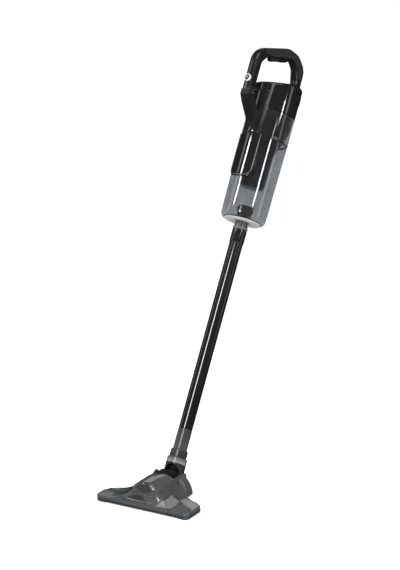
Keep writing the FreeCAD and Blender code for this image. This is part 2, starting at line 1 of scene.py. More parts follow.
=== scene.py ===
"""Looks for the cordless stick vacuum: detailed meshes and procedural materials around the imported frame."""
import json
import math

import bpy
import bmesh
import numpy as np
from mathutils import Matrix, Vector


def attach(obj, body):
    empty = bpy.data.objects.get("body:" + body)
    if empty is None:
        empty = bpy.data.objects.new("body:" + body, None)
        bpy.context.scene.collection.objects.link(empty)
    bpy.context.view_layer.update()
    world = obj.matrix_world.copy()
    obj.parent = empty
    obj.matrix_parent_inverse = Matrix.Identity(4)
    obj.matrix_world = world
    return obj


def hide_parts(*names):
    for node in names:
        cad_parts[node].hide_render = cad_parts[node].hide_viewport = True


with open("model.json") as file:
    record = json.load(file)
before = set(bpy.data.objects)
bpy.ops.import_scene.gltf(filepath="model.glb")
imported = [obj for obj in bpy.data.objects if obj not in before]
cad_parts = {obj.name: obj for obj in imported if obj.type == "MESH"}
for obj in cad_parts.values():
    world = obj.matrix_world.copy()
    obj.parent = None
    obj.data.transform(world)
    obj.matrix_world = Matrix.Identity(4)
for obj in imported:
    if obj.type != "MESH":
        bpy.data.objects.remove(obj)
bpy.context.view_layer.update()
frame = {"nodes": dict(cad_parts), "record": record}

# ------------------------------------------------------------------ frames, millimetres
LEAN, TWIST = 31.68, -14.5
PIV = np.array([0.0, 105.3, 38.9])


def rotx(d):
    c, s = math.cos(math.radians(d)), math.sin(math.radians(d))
    return np.array([[1, 0, 0], [0, c, -s], [0, s, c]])


def rotz(d):
    c, s = math.cos(math.radians(d)), math.sin(math.radians(d))
    return np.array([[c, -s, 0], [s, c, 0], [0, 0, 1]])


RS = rotx(-LEAN)
RU = RS @ rotz(TWIST)
ROW = (np.eye(3), np.zeros(3))
STICK = (RS, PIV)
UNIT = (RU, PIV)


# ------------------------------------------------------------------ materials
def nodes_of(name):
    m = bpy.data.materials.new(name)
    m.use_nodes = True
    t = m.node_tree
    t.nodes.clear()
    o = t.nodes.new("ShaderNodeOutputMaterial")
    b = t.nodes.new("ShaderNodeBsdfPrincipled")
    t.links.new(b.outputs[0], o.inputs[0])
    return m, t, b


def noise(t, vec, scale, detail=2.0, rough=0.5, stretch=None):
    n = t.nodes.new("ShaderNodeTexNoise")
    n.inputs["Scale"].default_value = scale
    n.inputs["Detail"].default_value = detail
    n.inputs["Roughness"].default_value = rough
    if stretch:
        mp = t.nodes.new("ShaderNodeMapping")
        mp.inputs["Rotation"].default_value = stretch[0]
        mp.inputs["Scale"].default_value = stretch[1]
        t.links.new(vec, mp.inputs["Vector"])
        vec = mp.outputs["Vector"]
    t.links.new(vec, n.inputs["Vector"])
    return n.outputs["Fac"]


def remap(t, fac, a, b, lo=0.3, hi=0.7):
    n = t.nodes.new("ShaderNodeMapRange")
    n.inputs["From Min"].default_value = lo
    n.inputs["From Max"].default_value = hi
    n.inputs["To Min"].default_value = a
    n.inputs["To Max"].default_value = b
    t.links.new(fac, n.inputs["Value"])
    return n.outputs["Result"]


def ramp(t, fac, c0, c1, p0=0.3, p1=0.7):
    n = t.nodes.new("ShaderNodeValToRGB")
    e = n.color_ramp.elements
    e[0].position, e[0].color = p0, (*c0, 1)
    e[1].position, e[1].color = p1, (*c1, 1)
    t.links.new(fac, n.inputs["Fac"])
    return n.outputs["Color"]


def mixc(t, fac, a, b):
    n = t.nodes.new("ShaderNodeMix")
    n.data_type = "RGBA"
    t.links.new(fac, n.inputs["Factor"])
    for s, v in ((n.inputs[6], a), (n.inputs[7], b)):
        if isinstance(v, tuple):
            s.default_value = (*v, 1)
        else:
            t.links.new(v, s)
    return n.outputs[2]


def bump(t, height, strength, dist, prev=None):
    n = t.nodes.new("ShaderNodeBump")
    n.inputs["Strength"].default_value = strength
    n.inputs["Distance"].default_value = dist
    t.links.new(height, n.inputs["Height"])
    if prev is not None:
        t.links.new(prev, n.inputs["Normal"])
    return n.outputs["Normal"]


def edge_wear(t, p0=0.53, p1=0.6):
    g = t.nodes.new("ShaderNodeNewGeometry")
    return remap(t, g.outputs["Pointiness"], 0.0, 1.0, p0, p1)


def plastic(name, c, c2=None, rough=(0.2, 0.3), coat=0.0, coat_rough=0.05, grain=0.05, grain_scale=1600, waves=0.0,
            spec=0.5, metallic=0.0, wear=None, dust=0.0, sheen=0.0, ior=1.5):
    """Moulded plastic: slight colour drift, roughness from handling, fine mould grain, lighter worn edges."""
    m, t, b = nodes_of(name)
    tc = t.nodes.new("ShaderNodeTexCoord").outputs["Object"]
    c2 = c2 or tuple(min(1, v * 1.25 + 0.002) for v in c)
    col = ramp(t, noise(t, tc, 14, 3), c, c2)
    if wear:
        col = mixc(t, edge_wear(t), col, wear)
    if dust:
        d = remap(t, noise(t, tc, 260, 6, 0.65), 0.0, dust, 0.56, 0.78)
        col = mixc(t, d, col, (0.55, 0.54, 0.52))
    t.links.new(col, b.inputs["Base Color"])
    r = noise(t, tc, 38, 5, 0.62)
    t.links.new(remap(t, r, rough[0], rough[1]), b.inputs["Roughness"])
    h = noise(t, tc, grain_scale, 2, 0.6)
    nrm = bump(t, h, grain, 0.0002)
    if waves:
        nrm = bump(t, noise(t, tc, 26, 1), waves, 0.0015, nrm)
    t.links.new(nrm, b.inputs["Normal"])
    b.inputs["Metallic"].default_value = metallic
    b.inputs["Specular IOR Level"].default_value = spec
    b.inputs["IOR"].default_value = ior
    b.inputs["Coat Weight"].default_value = coat
    b.inputs["Coat Roughness"].default_value = coat_rough
    if sheen:
        b.inputs["Sheen Weight"].default_value = sheen
    return m


def clear(name, tint, rough=0.02):
    m, t, b = nodes_of(name)
    tc = t.nodes.new("ShaderNodeTexCoord").outputs["Object"]
    t.links.new(ramp(t, noise(t, tc, 9, 2), tint, tuple(v * 1.06 for v in tint)), b.inputs["Base Color"])
    t.links.new(remap(t, noise(t, tc, 60, 4), rough, rough * 2.5), b.inputs["Roughness"])
    t.links.new(bump(t, noise(t, tc, 30, 1), 0.06, 0.0008), b.inputs["Normal"])
    b.inputs["Transmission Weight"].default_value = 1.0
    b.inputs["IOR"].default_value = 1.49
    return m


def metal(name, c, rough=(0.22, 0.4), brushed=None, spec=0.5):
    m, t, b = nodes_of(name)
    tc = t.nodes.new("ShaderNodeTexCoord").outputs["Object"]
    t.links.new(ramp(t, noise(t, tc, 40, 3), tuple(v * 0.85 for v in c), c), b.inputs["Base Color"])
    n = noise(t, tc, 90, 4, 0.6, brushed)
    t.links.new(remap(t, n, *rough), b.inputs["Roughness"])
    t.links.new(bump(t, n, 0.12, 0.0001), b.inputs["Normal"])
    b.inputs["Metallic"].default_value = 1.0
    return m


def mesh_screen(name, c, pitch):
    """Woven filter screen: dark threads over darker gaps."""
    m, t, b = nodes_of(name)
    tc = t.nodes.new("ShaderNodeTexCoord").outputs["Object"]
    v = t.nodes.new("ShaderNodeTexVoronoi")
    v.inputs["Scale"].default_value = 1.0 / pitch
    v.inputs["Randomness"].default_value = 0.15
    t.links.new(tc, v.inputs["Vector"])
    f = remap(t, v.outputs["Distance"], 0.0, 1.0, 0.25, 0.5)
    t.links.new(mixc(t, f, tuple(x * 0.25 for x in c), c), b.inputs["Base Color"])
    t.links.new(bump(t, f, 0.7, 0.0004), b.inputs["Normal"])
    t.links.new(remap(t, noise(t, tc, 50, 3), 0.45, 0.7), b.inputs["Roughness"])
    return m


M = {}
M["gloss_black"] = plastic("gloss_black", (0.0085, 0.0087, 0.0095), (0.012, 0.0122, 0.013), rough=(0.03, 0.075), coat=0.6, coat_rough=0.012,
                           grain=0.004, waves=0.018, wear=(0.03, 0.03, 0.032), dust=0.006, spec=0.55)
M["matte_black"] = plastic("matte_black", (0.0065, 0.0065, 0.0072), (0.0095, 0.0095, 0.0102), rough=(0.36, 0.5), grain=0.35, grain_scale=2300,
                           wear=(0.04, 0.04, 0.042), dust=0.02)
M["soft_grip"] = plastic("soft_grip", (0.0095, 0.0098, 0.0102), (0.0135, 0.0138, 0.0142), rough=(0.45, 0.6), grain=0.5, grain_scale=3200,
                         wear=(0.022, 0.022, 0.023), sheen=0.06, dust=0.01)
M["grey_plastic"] = plastic("grey_plastic", (0.05, 0.0525, 0.054), (0.06, 0.0625, 0.064), rough=(0.16, 0.26), coat=0.45, coat_rough=0.06,
                            grain=0.09, grain_scale=1900, wear=(0.12, 0.123, 0.126), dust=0.03)
M["neck_grey"] = plastic("neck_grey", (0.024, 0.025, 0.026), (0.03, 0.031, 0.032), rough=(0.24, 0.36), coat=0.3, coat_rough=0.12,
                         grain=0.12, grain_scale=1900, wear=(0.09, 0.092, 0.095), dust=0.03)
M["cap_gloss"] = plastic("cap_gloss", (0.055, 0.0575, 0.059), (0.066, 0.0685, 0.07), rough=(0.06, 0.14), coat=0.8, coat_rough=0.03,
                         grain=0.015, waves=0.06, wear=(0.16, 0.163, 0.166))
M["pale_grey"] = plastic("pale_grey", (0.21, 0.216, 0.222), (0.24, 0.246, 0.252), rough=(0.2, 0.32), coat=0.3, coat_rough=0.08,
                         grain=0.08, grain_scale=1900, wear=(0.3, 0.303, 0.306), dust=0.03)
# painted light: a lighter copy of grey_plastic for the right-hand facet, end plate and cheek front, where the right
# side catches more light
M["painted_lit_grey"] = plastic("painted_lit_grey", (0.13, 0.134, 0.138), (0.15, 0.154, 0.158), rough=(0.2, 0.32), coat=0.3, coat_rough=0.08,
                          grain=0.08, grain_scale=1900, wear=(0.2, 0.203, 0.206), dust=0.03)
M["window_dark"] = plastic("window_dark", (0.03, 0.031, 0.0325), (0.038, 0.039, 0.0405), rough=(0.2, 0.3), coat=0.5, coat_rough=0.04,
                           grain=0.01, waves=0.04, wear=(0.05, 0.05, 0.052))
M["collar_grey"] = plastic("collar_grey", (0.0198, 0.0205, 0.0211), (0.0248, 0.0254, 0.0260), rough=(0.26, 0.4), coat=0.15, coat_rough=0.12,
                           grain=0.09, grain_scale=1900, wear=(0.24, 0.243, 0.246), dust=0.03)
M["rim_grey"] = plastic("rim_grey", (0.02, 0.021, 0.022), (0.026, 0.027, 0.028), rough=(0.2, 0.32), coat=0.2, coat_rough=0.1,
                        grain=0.08, grain_scale=1900, wear=(0.13, 0.133, 0.136), dust=0.04)
M["light_grey"] = plastic("light_grey", (0.40, 0.41, 0.42), (0.46, 0.465, 0.47), rough=(0.25, 0.4), grain=0.1, wear=(0.6, 0.6, 0.6), dust=0.03)
M["tube_black"] = plastic("tube_black", (0.008, 0.0082, 0.009), (0.011, 0.0112, 0.012), rough=(0.09, 0.17), coat=0.5, coat_rough=0.05,
                          grain=0.02, grain_scale=2600, wear=(0.05, 0.05, 0.052), dust=0.01, spec=0.55)
M["smoke_clear"] = clear("smoke_clear", (0.385, 0.4, 0.41))
# painted reflection: the chrome is a light plastic base colour with little metallic, standing in for the bright
# surroundings it mirrors
M["chrome_trim"] = plastic("chrome_trim", (0.72, 0.73, 0.74), (0.8, 0.81, 0.82), rough=(0.08, 0.16), coat=0.8, coat_rough=0.03, grain=0.01,
                           metallic=0.12, wear=(0.9, 0.9, 0.9))
M["steel"] = metal("steel", (0.56, 0.56, 0.57), (0.22, 0.42), ((0, 0, 0), (1, 1, 12)))
M["filter_black"] = mesh_screen("filter_black", (0.035, 0.036, 0.038), 0.0011)
M["filter_white"] = plastic("filter_white", (0.62, 0.61, 0.58), (0.75, 0.74, 0.7), rough=(0.7, 0.9), grain=0.4, grain_scale=900)
M["black_rubber"] = plastic("black_rubber", (0.0035, 0.0035, 0.0038), (0.006, 0.006, 0.0063), rough=(0.45, 0.62), grain=0.4, grain_scale=1500,
                            wear=(0.02, 0.02, 0.02), dust=0.012, spec=0.28)
M["cell_wrap"] = plastic("cell_wrap", (0.03, 0.16, 0.1), (0.04, 0.19, 0.12), rough=(0.2, 0.3), grain=0.05)
M["board_green"] = plastic("board_green", (0.012, 0.07, 0.03), (0.02, 0.1, 0.045), rough=(0.3, 0.45), grain=0.2)
M["bristle"] = plastic("bristle", (0.02, 0.02, 0.022), (0.035, 0.035, 0.037), rough=(0.5, 0.7), grain=0.6, grain_scale=2500)

SLOT_OF = {s["node"]: s["material_slot"] for s in frame["record"]["subparts"]}
for n, o in frame["nodes"].items():
    o.data.materials.clear()
    o.data.materials.append(M[SLOT_OF[n]])
    for p in o.data.polygons:
        p.use_smooth = True


# ------------------------------------------------------------------ mesh helpers
def piece(name, verts, faces, fr, body, slot, mat=None, replaces=(), sharp=32, bevel=0.0, segs=3, limit=28, weighted=True):
    """A mesh given in a local millimetre frame, placed in the row frame, riding on its body."""
    R, P = fr
    v = (np.asarray(verts, float) @ R.T + P) * 0.001
    me = bpy.data.meshes.new(name)
    me.from_pydata(v.tolist(), [], [list(map(int, f)) for f in faces])
    bm = bmesh.new()
    bm.from_mesh(me)
    bmesh.ops.remove_doubles(bm, verts=bm.verts, dist=2e-6)
    bmesh.ops.dissolve_degenerate(bm, edges=bm.edges, dist=1e-7)
    bmesh.ops.recalc_face_normals(bm, faces=bm.faces)
    bm.to_mesh(me)
    bm.free()
    o = bpy.data.objects.new(name, me)
    bpy.context.scene.collection.objects.link(o)
    me.materials.append(M[mat or slot])
    for p in me.polygons:
        p.use_smooth = True
    if bevel:
        b = o.modifiers.new("bevel", "BEVEL")
        b.width = bevel * 0.001
        b.segments = segs
        b.limit_method = "ANGLE"
        b.angle_limit = math.radians(limit)
        b.use_clamp_overlap = True
    else:
        me.set_sharp_from_angle(angle=math.radians(sharp))
    if weighted:
        n = o.modifiers.new("normals", "WEIGHTED_NORMAL")
        n.keep_sharp = True
    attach(o, body)
    if replaces:
        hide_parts(*replaces)
    return o


def join(*parts):
    """Several (verts, faces) as one."""
    vs, fs, k = [], [], 0
    for v, f in parts:
        v = np.asarray(v, float)
        vs.append(v)
        fs += [[i + k for i in q] for q in f]
        k += len(v)
    return np.vstack(vs), fs


def round2(pts, radii, n=5, closed=True):
    """2-D polyline with its corners rounded."""
    P = [np.array(p, float) for p in pts]
    N = len(P)
    if not isinstance(radii, (list, tuple)):
        radii = [radii] * N
    res = []
    for i in range(N):
        b, r = P[i], radii[i]
        if r <= 0 or (not closed and i in (0, N - 1)):
            res.append(b)
            continue
        a, c = P[i - 1], P[(i + 1) % N]
        u, v = (a - b), (c - b)
        lu, lv = np.linalg.norm(u), np.linalg.norm(v)
        u, v = u / lu, v / lv
        ang = math.acos(max(-1, min(1, float(u @ v))))
        if abs(ang - math.pi) < 1e-3:
            res.append(b)
            continue
        t = min(r / math.tan(ang / 2), 0.49 * min(lu, lv))
        r = t * math.tan(ang / 2)
        w = (u + v) / np.linalg.norm(u + v)
        cen = b + w * (r / math.sin(ang / 2))
        p1, p2 = b + u * t, b + v * t
        d1, d2 = p1 - cen, p2 - cen
        a1, a2 = math.atan2(d1[1], d1[0]), math.atan2(d2[1], d2[0])
        da = (a2 - a1 + math.pi) % (2 * math.pi) - math.pi
        for k in range(n + 1):
            x = a1 + da * k / n
            res.append(cen + r * np.array([math.cos(x), math.sin(x)]))
    return [tuple(p) for p in res]


def lathe(prof, n=144, a0=0.0, a1=360.0, closed=True):
    """Revolve a (r, z) profile about z; closed=True joins its last point to its first."""
    full = abs(a1 - a0 - 360) < 1e-6
    m = n if full else n + 1
    vs, fs, k = [], [], len(prof)
    for j in range(m):
        a = math.radians(a0 + (a1 - a0) * j / n)
        c, s = math.cos(a), math.sin(a)
        vs += [(r * c, r * s, z) for r, z in prof]
    for j in range(n):
        j2 = (j + 1) % m
        for i in range(k if closed else k - 1):
            i2 = (i + 1) % k
            fs.append((j * k + i, j * k + i2, j2 * k + i2, j2 * k + i))
    if not full and closed:
        fs.append(tuple(range(k)))
        fs.append(tuple(range((m - 1) * k + k - 1, (m - 1) * k - 1, -1)))
    return np.array(vs, float), fs


def sweep(rings, caps=True, loop=False):
    """Closed rings of equal count, joined in order."""
    k, m = len(rings[0]), len(rings)
    vs = np.vstack([np.asarray(r, float) for r in rings])
    fs = []
    for j in range(m if loop else m - 1):
        j2 = (j + 1) % m
        for i in range(k):
            i2 = (i + 1) % k
            fs.append((j * k + i, j * k + i2, j2 * k + i2, j2 * k + i))
    if caps and not loop:
        fs.append(tuple(range(k)))
        fs.append(tuple(range((m - 1) * k + k - 1, (m - 1) * k - 1, -1)))
    return vs, fs


def prism_x(pts_qs, x0, x1):
    """Prism along x; the profile is (forward, height)."""
    return sweep([[(x0, -q, s) for q, s in pts_qs], [(x1, -q, s) for q, s in pts_qs]])


def prism_z(pts, z0, z1):
    return sweep([[(x, y, z0) for x, y in pts], [(x, y, z1) for x, y in pts]])


def boxm(x0, x1, y0, y1, z0, z1):
    return prism_z([(x0, y0), (x1, y0), (x1, y1), (x0, y1)], z0, z1)


def turned(vf, axis, origin=(0, 0, 0)):
    """Geometry made about z, turned to lie about another axis."""
    v, f = vf
    a = np.array(axis, float)
    a /= np.linalg.norm(a)
    h = np.array([0, 0, 1.0]) if abs(a[2]) < 0.9 else np.array([1.0, 0, 0])
    e1 = np.cross(h, a)
    e1 /= np.linalg.norm(e1)
    e2 = np.cross(a, e1)
    return v @ np.array([e1, e2, a]) + np.array(origin, float), f


def spin(vf, deg):
    v, f = vf
    return v @ rotz(deg).T, f


def grid_patch(P, Q, closed_u=False):
    """Slab between two grids of points (nu, nv, 3) of the same shape: outer P, inner Q."""
    nu, nv = P.shape[:2]
    vs = np.vstack([P.reshape(-1, 3), Q.reshape(-1, 3)])
    off = nu * nv
    fs = []
    for i in range(nu - 1):
        for j in range(nv - 1):
            a, b, c, d = i * nv + j, i * nv + j + 1, (i + 1) * nv + j + 1, (i + 1) * nv + j
            fs.append((a, b, c, d))
            fs.append((off + d, off + c, off + b, off + a))
    rim = [i * nv for i in range(nu)] + [(nu - 1) * nv + j for j in range(1, nv)] + \
          [i * nv + nv - 1 for i in range(nu - 2, -1, -1)] + [j for j in range(nv - 2, 0, -1)]
    for k in range(len(rim)):
        a, b = rim[k], rim[(k + 1) % len(rim)]
        fs.append((a, b, off + b, off + a))
    return vs, fs


def smooth(x, a, b):
    t = np.clip((np.asarray(x, float) - a) / (b - a), 0, 1)
    return t * t * (3 - 2 * t)


# ------------------------------------------------------------------ motor housing
def top_drop(v):
    """The drum's top slopes down to the front."""
    q = np.clip(-v[:, 1], 0, None)
    w = np.clip((v[:, 2] - 985) / 56, 0, 1)
    v[:, 2] -= 0.231 * q * w
    return v


hp = round2([(0, 958.2), (61.9, 958.2), (62, 1041), (0, 1041)], [0, 0.8, 7.5, 0], 10)
hp = [p for p in hp]
dense = []
for i in range(len(hp)):
    a, b = np.array(hp[i]), np.array(hp[(i + 1) % len(hp)])
    if i == len(hp) - 1:
        dense.append(tuple(a))
        break
    m_ = max(1, int(np.linalg.norm(b - a) / 12))
    for k_ in range(m_):
        dense.append(tuple(a + (b - a) * k_ / m_))
v, f = lathe(dense, 192, closed=False)
v = top_drop(v)
piece("motor_housing_shell", v, f, UNIT, "main_unit", "gloss_black", replaces=["motor_housing"], sharp=40)
# raised rim line round the foot of the drum
piece("housing_foot_line", *lathe(round2([(61.4, 957.6), (62.5, 957.6), (62.5, 960.2), (61.4, 960.2)], 0.4, 3), 192), UNIT,
      "main_unit", "gloss_black")

# exhaust grille let into the back
g = []
for a in np.arange(36.0, 145.0, 3.2):
    g.append(lathe(round2([(61.5, 1003.5), (62.9, 1003.5), (62.9, 1016.5), (61.5, 1016.5)], 0.4, 2), 2, a, a + 1.5))
g.append(lathe(round2([(61.5, 1001), (63.2, 1001), (63.2, 1003.6), (61.5, 1003.6)], 0.5, 3), 48, 32.5, 147.5))
g.append(lathe(round2([(61.5, 1016.4), (63.2, 1016.4), (63.2, 1019), (61.5, 1019)], 0.5, 3), 48, 32.5, 147.5))
g.append(lathe(round2([(61.5, 1009.2), (63.0, 1009.2), (63.0, 1010.6), (61.5, 1010.6)], 0.4, 2), 48, 33.5, 146.5))
for a in (32.5, 145.9):
    g.append(lathe(round2([(61.5, 1001), (63.2, 1001), (63.2, 1019), (61.5, 1019)], 0.5, 3), 2, a, a + 1.6))
piece("exhaust_grille", *join(*g), UNIT, "main_unit", "light_grey", mat="matte_black", replaces=["exhaust_cover"])
piece("exhaust_backing", *lathe([(61.6, 1002), (62.12, 1002), (62.12, 1018), (61.6, 1018)], 48, 33, 147), UNIT, "main_unit",
      "filter_black")

# ------------------------------------------------------------------ clear shroud, seam ring, latch
piece("cyclone_shroud_clear", *lathe(round2([(59.4, 886.1), (61.6, 886.1), (61.6, 957.8), (59.4, 957.8)], 0.3, 2), 160), UNIT,
      "main_unit", "smoke_clear", replaces=["cyclone_shroud"])
sr = lathe(round2([(59.2, 883.4), (62.2, 883.4), (62.2, 885.9), (59.2, 885.9)], 0.7, 4), 192)
piece("seam_ring_band", *sr, UNIT, "main_unit", "gloss_black", replaces=["seam_ring"])
LAT = -90 + 64.0
pad = [lathe(round2([(61.4, 881.6), (62.5, 881.6), (62.5, 893.0), (61.4, 893.0)], 0.3, 2), 12, LAT - 9.0, LAT + 9.0)]
for s0_, s1_, a0_, a1_ in ((881.4, 882.7, -9.2, 9.2), (891.9, 893.2, -9.2, 9.2), (881.4, 893.2, -9.2, -7.3), (881.4, 893.2, 7.3, 9.2)):
    pad.append(lathe(round2([(62.0, s0_), (64.0, s0_), (64.0, s1_), (62.0, s1_)], 0.5, 3), 12, LAT + a0_, LAT + a1_))
piece("latch_surround", *join(*pad), UNIT, "main_unit", "gloss_black")
lt = [lathe(round2([(63.2, 883.4), (64.9, 883.4), (64.9, 891.2), (63.2, 891.2)], 0.6, 4), 12, LAT - 6.4, LAT + 6.4)]
for dz in (885.2, 887.3, 889.4):
    lt.append(lathe(round2([(64.5, dz - 0.5), (65.3, dz - 0.5), (65.3, dz + 0.5), (64.5, dz + 0.5)], 0.3, 2), 8, LAT - 4.6, LAT + 4.6))
piece("bin_latch_key", *join(*lt), UNIT, "bin_latch", "light_grey", mat="collar_grey", replaces=["bin_latch"])

# ------------------------------------------------------------------ front tongue with its raised border
HALF, TBOT, TTOP, RC = 37.3, 771.0, 886.0, 24.0


def tongue_grid(nu=121, nv=150):
    P, Q = np.zeros((nu, nv, 3)), np.zeros((nu, nv, 3))
    us = np.sin(np.linspace(-math.pi / 2, math.pi / 2, nu))
    for i, u in enumerate(us):
        x = u * HALF
        over = max(0.0, abs(x) - (HALF - RC))
        bot = TBOT + RC - math.sqrt(max(0.0, RC * RC - over * over))
        for j in range(nv):
            t = (j / (nv - 1)) ** 1.15
            s = bot + (TTOP - bot) * t
            # distance to the border, for the frame and the rounded rim
            dx = HALF - abs(x)
            if s < TBOT + RC and abs(x) > HALF - RC:
                e = RC - math.hypot(over, TBOT + RC - s)
            else:
                e = min(dx, s - TBOT)
            e = max(e, 0.0)
            lift = 2.5 - 0.9 * float(smooth(e, 4.6, 6.0)) - 1.3 * (1 - math.sqrt(max(0.0, 1 - (1 - min(e / 1.4, 1)) ** 2)))
            lift -= 0.45 * math.exp(-((e - 4.4) / 0.35) ** 2)
            a = math.asin(x / 62.0) - math.pi / 2
            r = 62.0 + lift
            P[i, j] = (r * math.cos(a), r * math.sin(a), s)
            Q[i, j] = (61.65 * math.cos(a), 61.65 * math.sin(a), s)
    return grid_patch(P, Q)


piece("front_tongue", *tongue_grid(), UNIT, "main_unit", "gloss_black", replaces=["front_panel"], sharp=60)

IN_ = 4.4
hb, rb_ = HALF - IN_, RC - IN_
path = [(-hb, TTOP - 1.0 - (TTOP - 1.0 - TBOT - RC) * k / 30) for k in range(30)]
path += [(-(HALF - RC) - rb_ * math.cos(math.radians(a)), TBOT + RC - rb_ * math.sin(math.radians(a))) for a in np.linspace(0, 90, 16)]
path += [(x, TBOT + IN_) for x in np.linspace(-(HALF - RC), HALF - RC, 12)[1:-1]]
path += [((HALF - RC) + rb_ * math.sin(math.radians(a)), TBOT + RC - rb_ * math.cos(math.radians(a))) for a in np.linspace(0, 90, 16)]
path += [(hb, TBOT + RC + (TTOP - 1.0 - TBOT - RC) * (k + 1) / 30) for k in range(30)]
path = np.array(path)
tan = np.gradient(path, axis=0)
tan /= np.linalg.norm(tan, axis=1)[:, None]
rings = []
for (x, s), (tx, ts) in zip(path, tan):
    ring_ = []
    for k_ in range(8):
        w_ = 0.62 * math.cos(2 * math.pi * k_ / 8)
        h_ = 0.55 * math.sin(2 * math.pi * k_ / 8)
        xx, ss = x - ts * w_, s + tx * w_
        aa = math.asin(max(-1, min(1, xx / 62.0))) - math.pi / 2
        ring_.append(((64.35 + h_) * math.cos(aa), (64.35 + h_) * math.sin(aa), ss))
    rings.append(ring_)
piece("front_tongue_bead", *sweep(rings), UNIT, "main_unit", "gloss_black", mat="collar_grey", sharp=60)

# pad on the drum behind the handle base
NA, NS = 49, 60
P, Q = np.zeros((NA, NS, 3)), np.zeros((NA, NS, 3))
for i in range(NA):
    a = -115 + 50 * i / (NA - 1)
    for j in range(NS):
        s = 887.0 + (1006.0 - 887.0) * j / (NS - 1)
        e = min((25 - abs(a + 90)) * 62 * math.pi / 180, s - 887.0, 1006.0 - s)
        lift = 3.0 * math.sqrt(max(0.0, 1 - (1 - min(max(e, 0) / 3.0, 1)) ** 2)) + 0.05
        c_, s_ = math.cos(math.radians(a)), math.sin(math.radians(a))
        P[i, j] = ((62 + lift) * c_, (62 + lift) * s_, s)
        Q[i, j] = (61.0 * c_, 61.0 * s_, s)
piece("saddle_pad", *grid_patch(P, Q), UNIT, "main_unit", "gloss_black", replaces=["saddle"], sharp=60)

# ------------------------------------------------------------------ handle base: slanted matte block
bp = round2([(119, 983.6), (118.6, 971), (109, 957), (72, 916), (63.2, 898), (61.0, 898), (61.0, 944), (66, 944.5), (86, 964.5), (95.4, 977),
             (95.4, 983.6)], [1.5, 8, 10, 12, 3, 0, 0, 6, 8, 4, 1.5], 6)
v, f = prism_x(bp, -14.0, 14.0)
piece("handle_base_block", v, f, UNIT, "main_unit", "matte_black", replaces=["handle_base"], bevel=3.4, segs=5, limit=40)
# the leg's collar line where the glossy loop enters the block
piece("handle_base_line", *join(prism_x(round2([(119.6, 982.6), (119.6, 984.8), (95.0, 984.8), (95.0, 982.6)], 0.4, 2), -13.4, 13.4)), UNIT,
      "main_unit", "matte_black", bevel=0.5, segs=2)


# ------------------------------------------------------------------ loop handle, two halves with a parting line
def rail(pts, radii, na=12, ns=7):
    """Open path in (forward, height); each corner gives na+1 points and each run ns."""
    P = [np.array(p, float) for p in pts]
    res, last = [], P[0]
    for i in range(1, len(P) - 1):
        a, b, c = P[i - 1], P[i], P[i + 1]
        u, v = a - b, c - b
        lu, lv = np.linalg.norm(u), np.linalg.norm(v)
        u, v = u / lu, v / lv
        ang = math.acos(max(-1, min(1, float(u @ v))))
        r = radii[i]
        if r <= 0 or abs(ang - math.pi) < 1e-3:
            arc = [b] * (na + 1)
        else:
            t = min(r / math.tan(ang / 2), 0.49 * min(lu, lv))
            r = t * math.tan(ang / 2)
            w = (u + v) / np.linalg.norm(u + v)
            cen = b + w * (r / math.sin(ang / 2))
            d1, d2 = b + u * t - cen, b + v * t - cen
            a1, a2 = math.atan2(d1[1], d1[0]), math.atan2(d2[1], d2[0])
            da = (a2 - a1 + math.pi) % (2 * math.pi) - math.pi
            arc = [cen + r * np.array([math.cos(a1 + da * k / na), math.sin(a1 + da * k / na)]) for k in range(na + 1)]
        for k in range(ns):
            res.append(last + (arc[0] - last) * k / ns)
        res += arc[:-1]
        last = arc[-1]
    for k in range(ns + 1):
        res.append(last + (P[-1] - last) * k / ns)
    return np.array(res)


OUTER = rail([(120, 984), (120, 1077), (103, 1100.3), (8, 1136.4), (-31, 1133.5), (-66, 1107), (-68, 1060), (-68, 1024)],
             [0, 40, 46, 40, 38, 38, 44, 0])
INNER = rail([(96.5, 984), (96.5, 1064), (82, 1082.5), (6, 1108.3), (-14, 1114.8), (-36, 1097), (-47, 1066), (-44, 1030)],
             [0, 16, 12, 0, 14, 18, 18, 0])
HW = 12.5


def loop_ring(I, O, side, w=HW, ri=5.0, ro=5.6, groove=0.0):
    """Half cross-section between the inner and the outer rail, on one side of the parting plane."""
    e = O - I
    h = np.linalg.norm(e)
    e = e / h
    ri, ro = min(ri, h * 0.45), min(ro, h * 0.45)
    pts = [(0.07, 0.55), (0.55, 0.05), (w * 0.3, -0.02)]
    for k in range(9):
        a = math.radians(-90 + 90 * k / 8)
        pts.append((w - ri + ri * math.cos(a), ri + ri * math.sin(a)))
    for tt, dd in ((0.36, 0.0), (0.375, 0.5), (0.395, 0.5), (0.41, 0.0)):
        pts.append((w + 0.25 - dd * groove, ri + (h - ri - ro) * (tt - 0.2) / 0.6))
    for k in range(9):
        a = math.radians(90 * k / 8)
        pts.append((w - ro + ro * math.cos(a), h - ro + ro * math.sin(a)))
    pts += [(w * 0.3, h + 0.25), (0.55, h + 0.25), (0.07, h - 0.35)]
    return [(side * x, -(I[0] + e[0] * t), I[1] + e[1] * t) for x, t in pts]


for side, nm in ((1, "right"), (-1, "left")):
    rings = []
    for I, O in zip(INNER, OUTER):
        front = O[0] > 108 and O[1] < 1062
        fade = 1.0 if front and 990 < O[1] < 1056 else 0.0
        rings.append(loop_ring(I, O, side, groove=fade))
    v, f = sweep(rings)
    piece("handle_loop_" + nm, v, f, UNIT, "main_unit", "gloss_black", replaces=["handle_" + nm], sharp=38)

